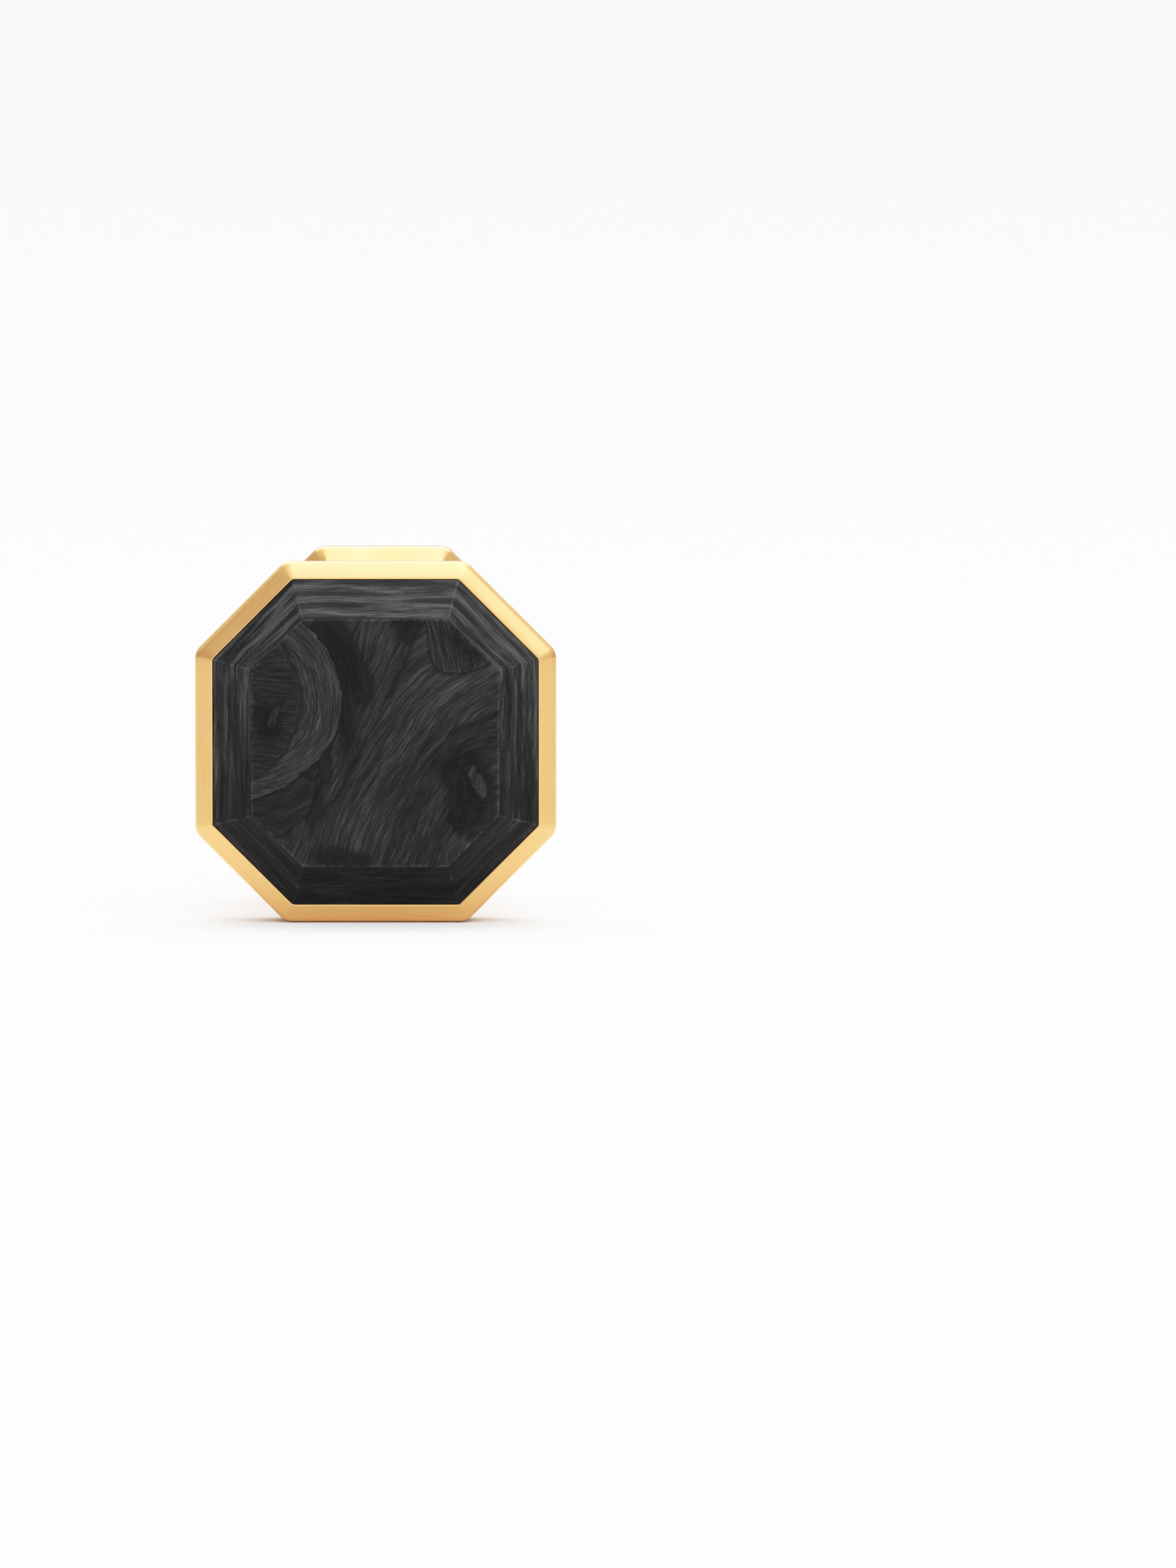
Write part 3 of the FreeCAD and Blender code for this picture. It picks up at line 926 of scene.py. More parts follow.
class Bench:
    """Operators for shaping pieces. Work is done in millimetres and brought down to metres at the end."""

    MERGE_DISTANCE: ClassVar[float] = 0.0005
    QUAD_CORNERS: ClassVar[int] = 4
    BAR_SIDES: ClassVar[int] = 64

    @staticmethod
    def clear() -> None:
        """Leaves edit mode and deselects everything."""
        if bpy.context.mode != "OBJECT":
            bpy.ops.object.mode_set(mode="OBJECT")
        bpy.ops.object.select_all(action="DESELECT")

    @staticmethod
    def take(piece: Piece) -> None:
        """Selects one piece alone, in object mode.

        Args:
            piece: the piece.
        """
        Bench.clear()
        piece.select_set(True)
        bpy.context.view_layer.objects.active = piece

    @staticmethod
    def begin(name: str) -> Piece:
        """Starts an empty piece in edit mode.

        Args:
            name: the name of the piece and its mesh.

        Returns:
            The piece.
        """
        Bench.clear()
        bpy.ops.object.add(type="MESH", enter_editmode=True)
        piece = bpy.context.object
        piece.name = name
        piece.data.name = name
        return piece

    @staticmethod
    def edit(piece: Piece) -> None:
        """Opens a piece in edit mode with nothing selected.

        Args:
            piece: the piece.
        """
        Bench.take(piece)
        bpy.ops.object.mode_set(mode="EDIT")
        bpy.ops.mesh.select_all(action="DESELECT")

    @staticmethod
    def pick(part: Part, test: Callable[[Any], bool]) -> None:
        """Selects the edges or faces of the open piece that pass a test, and no others.

        Args:
            part: whether edges or faces are picked.
            test: whether one of them is wanted.
        """
        mesh = bpy.context.object.data
        bpy.ops.mesh.select_mode(type=part.value)
        bpy.ops.mesh.select_all(action="DESELECT")
        work = bmesh.from_edit_mesh(mesh)
        for element in work.edges if part is Part.EDGES else work.faces:
            if test(element):
                element.select_set(True)
        bmesh.update_edit_mesh(mesh)

    @staticmethod
    def run_x(edge: bmesh.types.BMEdge) -> float:
        """How far an edge runs along X."""
        return abs(edge.verts[0].co.x - edge.verts[1].co.x)

    @staticmethod
    def round_edges(radius: float, steps: int, test: Callable[[bmesh.types.BMEdge], bool]) -> None:
        """Rounds the edges of the open piece that pass a test."""
        Bench.pick(Part.EDGES, test)
        bpy.ops.mesh.bevel(offset=radius, segments=steps, profile=0.5, clamp_overlap=False)

    @staticmethod
    def draw_out(by: Triple) -> None:
        """Extrudes what is selected by a way."""
        bpy.ops.mesh.extrude_region_move(TRANSFORM_OT_translate={"value": by})

    @staticmethod
    def upright_sheet(width: float, height: float, centre: Triple) -> None:
        """Adds a rectangle across Y to the open piece."""
        bpy.ops.mesh.primitive_plane_add(size=1.0, rotation=(QUARTER_TURN, 0.0, 0.0), location=centre)
        bpy.ops.transform.resize(value=(width, 1.0, height), center_override=centre)

    @staticmethod
    def block(name: str, low: Triple, high: Triple) -> Piece:
        """A block between two corners, left in edit mode.

        Args:
            name: the piece's name.
            low: the corner with the least X, Y and Z.
            high: the corner across from it.

        Returns:
            The piece.
        """
        piece = Bench.begin(name)
        middle = [(a + b) / 2.0 for a, b in zip(low, high)]
        bpy.ops.mesh.primitive_cube_add(size=1.0, location=middle)
        bpy.ops.transform.resize(value=[b - a for a, b in zip(low, high)], center_override=middle)
        return piece

    @staticmethod
    def bar(name: str, radius: float, start: Triple, length: float, axis: Axis) -> Piece:
        """A round bar, left in edit mode.

        Args:
            name: the piece's name.
            radius: the bar's radius.
            start: the middle of the end that it starts from.
            length: its length.
            axis: the way that it runs.

        Returns:
            The piece.
        """
        piece = Bench.begin(name)
        along, turn = axis.value
        middle = Vector(start) + Vector(along) * (length / 2.0)
        bpy.ops.mesh.primitive_cylinder_add(vertices=Bench.BAR_SIDES, radius=radius, depth=length,
                                            rotation=turn, location=middle)
        return piece

    @staticmethod
    def modify(piece: Piece, kind: str, settings: Mapping[str, Any]) -> None:
        """Applies a modifier to a piece.

        Args:
            piece: the piece.
            kind: the modifier's type.
            settings: its properties.
        """
        Bench.take(piece)
        bpy.ops.object.modifier_add(type=kind)
        modifier = piece.modifiers[-1]
        for name, setting in settings.items():
            setattr(modifier, name, setting)
        bpy.ops.object.modifier_apply(modifier=modifier.name)

    @staticmethod
    def combine(piece: Piece, other: Piece, combined: Combined) -> None:
        """Joins a second shape to a piece or cuts it out, and removes the second."""
        Bench.modify(piece, "BOOLEAN", {"operation": combined.value, "solver": "EXACT", "object": other})
        bpy.data.objects.remove(other)

    @staticmethod
    def finish(piece: Piece, node: str, body: Body, slot: Slot, finishes: Sequence[Finish],
               smooth: float = 30.0) -> None:
        """Cleans a piece, brings it to metres, dresses it and sets it on its body.

        Args:
            piece: the shaped piece, in millimetres.
            node: the CAD node that it stands for.
            body: the body that it rides on.
            slot: the record's material slot; not used.
            finishes: its finishes, in the order of the faces' material numbers.
            smooth: faces that turn less than this many degrees are shaded as one.
        """
        Bench.edit(piece)
        bpy.ops.mesh.select_all(action="SELECT")
        bpy.ops.mesh.remove_doubles(threshold=Bench.MERGE_DISTANCE)
        bpy.ops.mesh.normals_make_consistent(inside=False)
        Bench.pick(Part.FACES, lambda face: len(face.verts) > Bench.QUAD_CORNERS)
        bpy.ops.mesh.quads_convert_to_tris(quad_method="BEAUTY", ngon_method="BEAUTY")
        Bench.take(piece)
        piece.scale = (METRES_PER_MM,) * 3
        bpy.ops.object.transform_apply(location=True, rotation=True, scale=True)
        bpy.ops.object.shade_smooth_by_angle(angle=math.radians(smooth), keep_sharp_edges=False)
        for finish in finishes:
            piece.data.materials.append(finish.material())
        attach(piece, body.value)
        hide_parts(node)
        LOG.info("%s: %d faces on %s", piece.name, len(piece.data.polygons), body.value)


@dataclass(frozen=True)
class Outline:
    """A rectangle across Y with its corners cut at 45 degrees and rounded, centred on the post's axis."""

    width: float
    height: float
    cut: float
    round: float
    depth: float
    bend: float = 0.0

    # Half of the turn at each corner.
    HALF_TURN: ClassVar[float] = math.pi / 8.0
    CORNER_STEPS: ClassVar[int] = 6
    SIDE_CUTS: ClassVar[int] = 11

    def inset(self, by: float, depth: float, round_to: Optional[float] = None,
              bend: float = 0.0) -> "Outline":
        """The outline inside this one by a distance, at its own depth.

        Args:
            by: the distance between the two lines.
            depth: the new outline's place along Y.
            round_to: the new corner radius, or None to keep this one.
            bend: the radius of the section's turn at the new outline.

        Returns:
            The new outline.
        """
        radius = self.round if round_to is None else round_to
        return Outline(self.width - 2.0 * by, self.height - 2.0 * by, self.cut - by * (2.0 - DIAGONAL),
                       radius, depth, bend)

    def half_size(self) -> "Outline":
        """A flat outline of half the size at the same depth, which an end is drawn in to."""
        return replace(self, width=self.width / 2.0, height=self.height / 2.0, cut=self.cut / 2.0, bend=0.0)

    def between(self, first: "Outline", first_share: float, second: "Outline",
                second_share: float) -> "Outline":
        """This outline moved towards two others.

        Args:
            first: one of them.
            first_share: the share of the way to it.
            second: the other.
            second_share: the share of the way to that one.

        Returns:
            The moved outline.
        """
        moved = {}
        for name in ("width", "height", "cut", "round", "depth"):
            here = getattr(self, name)
            to_first, to_second = getattr(first, name) - here, getattr(second, name) - here
            moved[name] = here + first_share * to_first + second_share * to_second
        return Outline(**moved)

    def lay(self) -> None:
        """Adds the outline to the open piece as a closed line of points."""
        bpy.ops.mesh.select_all(action="DESELECT")
        Bench.upright_sheet(self.width, self.height, (0.0, self.depth, AXIS_Z))
        bpy.ops.mesh.bevel(affect="VERTICES", offset=self.cut, segments=1, clamp_overlap=False)
        bpy.ops.mesh.bevel(affect="VERTICES", offset=self.round * math.tan(self.HALF_TURN),
                           segments=self.CORNER_STEPS, profile=0.5, clamp_overlap=False)
        mesh = bpy.context.object.data
        work = bmesh.from_edit_mesh(mesh)
        for edge in work.edges:
            edge.select_set(edge.select and edge.calc_length() > self.round)
        bmesh.update_edit_mesh(mesh)
        bpy.ops.mesh.subdivide(number_cuts=self.SIDE_CUTS)
        Bench.pick(Part.FACES, lambda face: len(face.verts) > Bench.QUAD_CORNERS)
        bpy.ops.mesh.delete(type="ONLY_FACE")


class Stack:
    """A solid drawn through outlines one behind another, with its section's turns rounded."""

    BEND_STEPS: ClassVar[int] = 6
    # Outlines are bridged this far apart and then moved to their depths, as two at one depth can't be.
    SPREAD: ClassVar[float] = 1.0
    LENIENCE: ClassVar[float] = 1e-6

    def __init__(self, outlines: Sequence[Outline], ring: bool) -> None:
        """Takes the section's corners in order; a ring joins the last to the first, a solid is capped."""
        self.ring = ring
        self.stations = self._rounded(list(outlines))

    def _rounded(self, corners: list[Outline]) -> list[Outline]:
        """The section's corners with each turn replaced by an arc.

        Args:
            corners: the section's corners in order.

        Returns:
            The outlines to lay, in order.
        """
        stations: list[Outline] = []
        last = len(corners) - 1
        for i, here in enumerate(corners):
            if here.bend == 0.0 or (not self.ring and i in (0, last)):
                stations.append(here)
                continue
            before, after = corners[i - 1], corners[(i + 1) % len(corners)]
            to_before, to_after = (Vector(((there.width - here.width) / 2.0, there.depth - here.depth))
                                   for there in (before, after))
            half = to_before.angle(to_after) / 2.0
            room = min(to_before.length, to_after.length) + self.LENIENCE
            assert here.bend / math.tan(half) <= room, "a turn is wider than its side"
            for k in range(self.BEND_STEPS + 1):
                turn = (QUARTER_TURN - half) * (2.0 * k / self.BEND_STEPS - 1.0)
                # A point of the arc, as ways along the two sides from the corner.
                out = here.bend / math.sin(half) - here.bend * math.cos(turn)
                across = here.bend * math.sin(turn)
                along_after = (out / math.cos(half) + across / math.sin(half)) / 2.0
                along_before = (out / math.cos(half) - across / math.sin(half)) / 2.0
                stations.append(here.between(before, along_before / to_before.length,
                                             after, along_after / to_after.length))
        return stations

    def build(self, name: str, fan: bool = True) -> Piece:
        """Lays the outlines, bridges them and closes the ends.

        Args:
            name: the piece's name.
            fan: whether the ends are fans of triangles, or single faces that a later cut opens.

        Returns:
            The piece, still in edit mode and in millimetres.
        """
        piece = Bench.begin(name)
        total = len(self.stations)
        for k, station in enumerate(self.stations):
            replace(station, depth=k * self.SPREAD).lay()
        count = len(bmesh.from_edit_mesh(piece.data).verts) // total
        for k in range(total if self.ring else total - 1):
            self._pick_lines(count, {k, (k + 1) % total})
            bpy.ops.mesh.bridge_edge_loops()
        for k, station in enumerate(self.stations):
            self._pick_lines(count, {k})
            bpy.ops.transform.translate(value=(0.0, station.depth - k * self.SPREAD, 0.0))
        ends = () if self.ring else (0, total - 1)
        for k in ends:
            self._pick_lines(count, {k})
            bpy.ops.mesh.edge_face_add()
            if fan:
                bpy.ops.mesh.poke()
        bpy.ops.mesh.select_all(action="SELECT")
        bpy.ops.mesh.normals_make_consistent(inside=False)
        return piece

    @staticmethod
    def _pick_lines(count: int, lines: set[int]) -> None:
        """Selects whole outlines of the open piece by their numbers, each of a count of points."""
        Bench.pick(Part.EDGES, lambda edge: edge.verts[0].index // count in lines
                   and edge.verts[0].index // count == edge.verts[1].index // count)


# Sub-assemblies


@dataclass
class Case:
    """The octagonal case: its frame, the forged-carbon inlay, the adhesive under it and the back plate."""

    face: Face = FACE
    corner_radius: float = 0.8
    draft: float = 0.14
    opening_radius: float = 0.25
    rim_rise: float = 0.3
    rim_radius: float = 0.36
    back_radius: float = 0.2
    lip_radius: float = 0.05
    lip_depth: float = NODES["case_frame"].front
    seat_depth: float = NODES["inlay_film"].back
    seat_width: float = 0.87
    back_depth: float = NODES["case_frame"].back
    girdle_drop: float = 0.05
    girdle_radius: float = 0.04
    film: float = NODES["inlay_film"].depth
    table_radius: float = 0.12
    table_edge: float = 0.10
    plate_inset: float = (NODES["case_frame"].width - NODES["back_plate"].width) / 2.0
    plate_back: float = NODES["back_plate"].back
    plate_radius: float = 0.25
    step_height: float = NODES["case_frame"].back - NODES["back_plate"].front
    step_gap: float = 0.05

    # Faces that turn less than these many degrees are shaded as one.
    RING_SMOOTH: ClassVar[float] = 50.0
    INLAY_SMOOTH: ClassVar[float] = 12.0
    # A satin face looks forwards more than the first, and at most the second more than the band does.
    SATIN_END: ClassVar[float] = 0.30
    BAND_SPREAD: ClassVar[float] = 0.012

    @property
    def seat_inset(self) -> float:
        """How far the opening behind the seat lies inside the case's outline."""
        return self.face.rim_width + self.seat_width

    def outer(self) -> Outline:
        """The case's outline at the lip."""
        face = self.face
        return Outline(face.width, face.width, face.corner_cut, self.corner_radius, self.lip_depth)

    def build(self) -> None:
        """Models and dresses the case's four pieces."""
        self.frame()
        self.inlay()
        self.plate()
        self.dress_film()

    def frame(self) -> None:
        """The ring with its satin band and rounded edge, and its polished walls and seat."""
        outer, inner = self.outer(), self.opening_radius
        lip, seat = self.face.rim_width, self.seat_inset
        section = [
            outer.inset(lip, self.lip_depth, inner, self.lip_radius),
            outer.inset(0.0, self.lip_depth + self.rim_rise, None, self.rim_radius),
            outer.inset(self.draft, self.back_depth, None, self.back_radius),
            outer.inset(seat, self.back_depth, inner),
            outer.inset(seat, self.seat_depth, inner),
            outer.inset(lip, self.seat_depth, inner),
        ]
        piece = Stack(section, ring=True).build("case_ring")
        finishes = [POLISHED_GOLD, SATIN_GOLD]
        Bench.finish(piece, "case_frame", Body.FACE, Slot.CASE_GOLD, finishes, self.RING_SMOOTH)
        Bench.edit(piece)
        Bench.pick(Part.FACES, self._is_satin)
        piece.active_material_index = finishes.index(SATIN_GOLD)
        bpy.ops.object.material_slot_assign()
        Bench.clear()

    def _is_satin(self, face: bmesh.types.BMFace) -> bool:
        """Whether a face of the finished ring is on the band or the rounded edge outside it.

        Args:
            face: the face, in metres.

        Returns:
            Whether it is satin.
        """
        facing = math.cos(math.atan2(self.rim_rise, self.face.rim_width))
        centre = face.calc_center_median()
        outward = face.normal.x * centre.x + face.normal.z * (centre.z - AXIS_Z * METRES_PER_MM)
        return outward > 0.0 and self.SATIN_END < -face.normal.y < facing + self.BAND_SPREAD

    def inlay(self) -> None:
        """The carbon inlay with softened ridges."""
        face = self.face
        girdle = self.outer().inset(face.girdle_inset, self.seat_depth - self.film, self.opening_radius)
        top = replace(girdle, depth=self.lip_depth + self.girdle_drop, bend=self.girdle_radius)
        table = Outline(face.table_width, face.table_width, face.table_cut, self.table_radius,
                        face.table_depth, self.table_edge)
        piece = Stack([girdle, top, table, table.half_size()], ring=False).build("carbon_stone")
        Bench.finish(piece, "carbon_inlay", Body.FACE, Slot.FORGED_CARBON, [FORGED_CARBON],
                     self.INLAY_SMOOTH)

    def plate(self) -> None:
        """The back plate with its step and the hole for the post's tenon."""
        step = self.outer().inset(self.seat_inset + self.step_gap, self.back_depth - self.step_height,
                                  self.opening_radius)
        outer = self.outer().inset(self.plate_inset, self.back_depth)
        back = replace(outer, depth=self.plate_back, bend=self.plate_radius)
        middle = replace(self.outer(), depth=self.plate_back).half_size()
        section = [step, replace(step, depth=self.back_depth), outer, back, middle]
        piece = Stack(section, ring=False).build("case_back", fan=False)
        start = self.back_depth - 2.0 * self.step_height
        length = self.plate_back + self.step_height - start
        radius = Post.tenon_radius + Post.fit
        hole = Bench.bar("tenon_hole", radius, (0.0, start, AXIS_Z), length, Axis.Y)
        Bench.combine(piece, hole, Combined.CUT)
        Bench.finish(piece, "back_plate", Body.FACE, Slot.CASE_GOLD, [POLISHED_GOLD])

    @staticmethod
    def dress_film() -> None:
        """Gives the hidden ring of adhesive its finish."""
        film = frame["nodes"]["inlay_film"]
        film.data.materials.clear()
        film.data.materials.append(DARK_ADHESIVE.material())


@dataclass
class Post:
    """The forked post with its foot, the leaf spring in the fork and the two rivets."""

    width: float = 4.4
    height: float = 3.8
    edge_radius: float = 0.25
    fork_gap: float = 2.5
    cuff: float = NODES["back_plate"].back
    foot_top: float = -4.875
    foot_width: float = NODES["post"].width
    foot_top_width: float = 5.4
    foot_cut_share: float = 0.25
    foot_radius: float = 0.2
    foot_edge: float = 0.12
    tenon_radius: float = 1.1
    tenon_depth: float = NODES["back_plate"].depth
    fork_root: float = -3.175
    pad_end: float = -0.475
    pad_top: float = 0.6
    pivot: float = HINGE_Y
    fit: float = 0.01
    # The round eye falls this far short of half the post's height, so that a thin flat is left at its end.
    eye_flat: float = 0.001
    spring_width: float = NODES["leaf_spring"].width
    spring_thickness: float = 0.35
    spring_start: float = NODES["leaf_spring"].front
    spring_bend: float = -0.075
    spring_flat: float = 3.425
    spring_tip: float = NODES["leaf_spring"].back
    spring_drop: float = 0.57
    spring_radius: float = 2.5
    spring_edge: float = 0.04
    spring_edge_angle: float = 60.0
    shank_radius: float = 0.45
    shank_place: float = -1.775
    shank_head: float = 0.8
    shank_head_height: float = 0.32
    pin_radius: float = 0.6
    pin_head: float = 0.98
    pin_head_height: float = 0.28
    head_edge: float = 0.08

    # How far a cutting shape stands out past what it cuts.
    CLEAR: ClassVar[float] = 2.0
    EYE_STEPS: ClassVar[int] = 16
    EDGE_STEPS: ClassVar[int] = 4
    BEND_STEPS: ClassVar[int] = 5
    SPRING_EDGE_STEPS: ClassVar[int] = 2
    DOME_STEPS: ClassVar[int] = 8
    # A face looks one way when its normal goes this far that way, and two ends are level within the second.
    ALIGNED: ClassVar[float] = 0.99
    LEVEL: ClassVar[float] = 1e-4

    @property
    def low(self) -> float:
        """The height of the post's lower side."""
        return AXIS_Z - self.height / 2.0

    @property
    def pad(self) -> float:
        """The height of the spring's pad."""
        return self.low + self.pad_top

    def build(self) -> None:
        """Models and dresses the post, the spring and the rivets."""
        self.post()
        self.spring()
        self.spring_rivet()
        self.hinge_rivet()

    def post(self) -> None:
        """The post: a bar with rounded eyes on a flared foot, cut to a fork and drilled."""
        half, eye = self.width / 2.0, self.height / 2.0
        end = self.pivot + eye
        body = Bench.block("forked_post", (-half, self.cuff, self.low), (half, end, AXIS_Z + eye))
        Bench.round_edges(eye - self.eye_flat, self.EYE_STEPS, lambda edge: Bench.run_x(edge) > half
                          and all(abs(vert.co.y - end) < self.fit for vert in edge.verts))
        Bench.round_edges(self.edge_radius, self.EDGE_STEPS, lambda edge: Bench.run_x(edge) < self.fit
                          and max(vert.co.y for vert in edge.verts) > self.cuff + self.fit)
        for part in (self._foot(), self._tenon()):
            Bench.combine(body, part, Combined.JOINED)
        for part in self._cuts(end):
            Bench.combine(body, part, Combined.CUT)
        Bench.finish(body, "post", Body.FACE, Slot.FITTING_GOLD, [POLISHED_GOLD])

    def _foot(self) -> Piece:
        """The octagonal foot, flared towards the back plate.

        Returns:
            The foot, in edit mode.
        """
        section = [Outline(width, width, width * self.foot_cut_share, self.foot_radius, depth, bend)
                   for width, depth, bend in ((self.foot_width, self.cuff, 0.0),
                                              (self.foot_top_width, self.foot_top, self.foot_edge),
                                              (self.width / 2.0, self.foot_top, 0.0))]
        return Stack(section, ring=False).build("foot")

    def _tenon(self) -> Piece:
        """The round tenon that goes through the back plate."""
        start = (0.0, self.cuff - self.tenon_depth, AXIS_Z)
        return Bench.bar("tenon", self.tenon_radius, start, self.foot_top - start[1] - self.fit, Axis.Y)

    def _cuts(self, end: float) -> Iterable[Piece]:
        """The shapes that are cut from the post, each made when it is asked for.

        Args:
            end: the post's end along Y.

        Returns:
            The fork's two slots, the hinge rivet's hole and the spring rivet's hole.
        """
        half, top = self.fork_gap / 2.0, AXIS_Z + self.height
        far = (half, end + self.CLEAR, top)
        yield Bench.block("slot", (-half, self.fork_root, self.pad), far)
        yield Bench.block("lower_slot", (-half, self.pad_end, self.low - self.CLEAR), far)
        start = (-self.width, self.pivot, AXIS_Z)
        yield Bench.bar("pin_hole", self.pin_radius + self.fit, start, 2.0 * self.width, Axis.X)
        yield self._shank_hole("shank_hole")

    def _shank_hole(self, name: str) -> Piece:
        """A bar as wide as the hole for the spring's rivet."""
        start = (0.0, self.shank_place, self.low - self.CLEAR)
        return Bench.bar(name, self.shank_radius + self.fit, start, self.height, Axis.Z)

    def spring(self) -> None:
        """The strip: flat on its pad, bent down and then level under the knuckle."""
        run = self.spring_flat - self.spring_bend
        slope = math.atan2(self.spring_drop, run)
        outer = self.spring_radius + self.spring_thickness
        first, second = (radius * math.tan(slope / 2.0) for radius in (self.spring_radius, outer))
        bend, flat = self.spring_bend - first, self.spring_flat + second
        length = math.hypot(run, self.spring_drop) - first - second
        piece = Bench.begin("leaf_strip")
        Bench.upright_sheet(self.spring_width, self.spring_thickness,
                            (0.0, self.spring_start, self.pad + self.spring_thickness / 2.0))
        Bench.draw_out((0.0, bend - self.spring_start, 0.0))
        self._turn(slope, bend, self.pad - self.spring_radius)
        Bench.draw_out((0.0, length * math.cos(slope), -length * math.sin(slope)))
        self._turn(-slope, flat, self.pad - self.spring_drop + outer)
        Bench.draw_out((0.0, self.spring_tip - flat, 0.0))
        Bench.combine(piece, self._shank_hole("spring_hole"), Combined.CUT)
        Bench.modify(piece, "BEVEL", {
            "width": self.spring_edge, "segments": self.SPRING_EDGE_STEPS, "limit_method": "ANGLE",
            "angle_limit": math.radians(self.spring_edge_angle), "miter_outer": "MITER_ARC",
        })
        Bench.finish(piece, "leaf_spring", Body.FACE, Slot.SPRING_STEEL, [SPRING_STEEL])

    def _turn(self, angle: float, y: float, z: float) -> None:
        """Spins the selected end about a line along X."""
        bpy.ops.mesh.spin(steps=self.BEND_STEPS, angle=angle, axis=(1.0, 0.0, 0.0), center=(0.0, y, z))

    def spring_rivet(self) -> None:
        """The rivet through the spring's root, with a low domed head."""
        foot, up = self.pad + self.spring_thickness, Vector((0.0, 0.0, 1.0))
        start = (0.0, self.shank_place, foot)
        piece = Bench.bar("spring_rivet_head", self.shank_head, start, self.head_edge, Axis.Z)
        self._dome(up, self.shank_head, self.shank_head_height - self.head_edge)
        self._shank(up, self.shank_head - self.shank_radius, foot - self.low)
        Bench.finish(piece, "spring_rivet", Body.FACE, Slot.FITTING_GOLD, [POLISHED_GOLD])

    def hinge_rivet(self) -> None:
        """The rivet across the fork, with a domed head on each cheek."""
        half, right = self.width / 2.0, Vector((1.0, 0.0, 0.0))
        rise = self.pin_head_height - self.head_edge
        start = (half, self.pivot, AXIS_Z)
        piece = Bench.bar("hinge_rivet_pin", self.pin_head, start, self.head_edge, Axis.X)
        self._dome(right, self.pin_head, rise)
        self._shank(right, self.pin_head - self.pin_radius, self.width)
        # The far head starts as the shank's end, drawn out in place and widened.
        Bench.draw_out((0.0, 0.0, 0.0))
        grow = self.pin_head / self.pin_radius
        bpy.ops.transform.resize(value=(1.0, grow, grow), center_override=(-half, self.pivot, AXIS_Z))
        Bench.draw_out((-self.head_edge, 0.0, 0.0))
        self._dome(-right, self.pin_head, rise)
        Bench.finish(piece, "hinge_rivet", Body.FACE, Slot.FITTING_GOLD, [POLISHED_GOLD])

    def _shank(self, out: Vector, inset: float, length: float) -> None:
        """Draws a shank out of the flat side of a rivet's head.

        Args:
            out: the way that the head looks.
            inset: how far the shank lies inside the head's edge.
            length: the shank's length.
        """
        Bench.pick(Part.FACES, lambda face: face.normal.dot(out) < -self.ALIGNED)
        bpy.ops.mesh.inset(thickness=inset)
        Bench.draw_out(tuple(out * -length))

    def _dome(self, out: Vector, radius: float, rise: float) -> None:
        """Raises the end face that looks one way into a low dome, ring by ring.

        Args:
            out: the way that the end face looks.
            radius: the end's radius.
            rise: the dome's height.
        """
        sphere = (radius * radius + rise * rise) / (2.0 * rise)
        lean = math.asin(radius / sphere)
        reach, height = radius, 0.0
        end = max(vert.co.dot(out) for vert in bmesh.from_edit_mesh(bpy.context.object.data).verts)
        Bench.pick(Part.FACES, lambda face: face.normal.dot(out) > self.ALIGNED
                   and abs(face.calc_center_median().dot(out) - end) < self.LEVEL)
        for k in range(1, self.DOME_STEPS):
            angle = lean * (1.0 - k / self.DOME_STEPS)
            next_reach = sphere * math.sin(angle)
            next_height = rise - sphere * (1.0 - math.cos(angle))
            bpy.ops.mesh.inset(thickness=reach - next_reach, depth=next_height - height)
            reach, height = next_reach, next_height


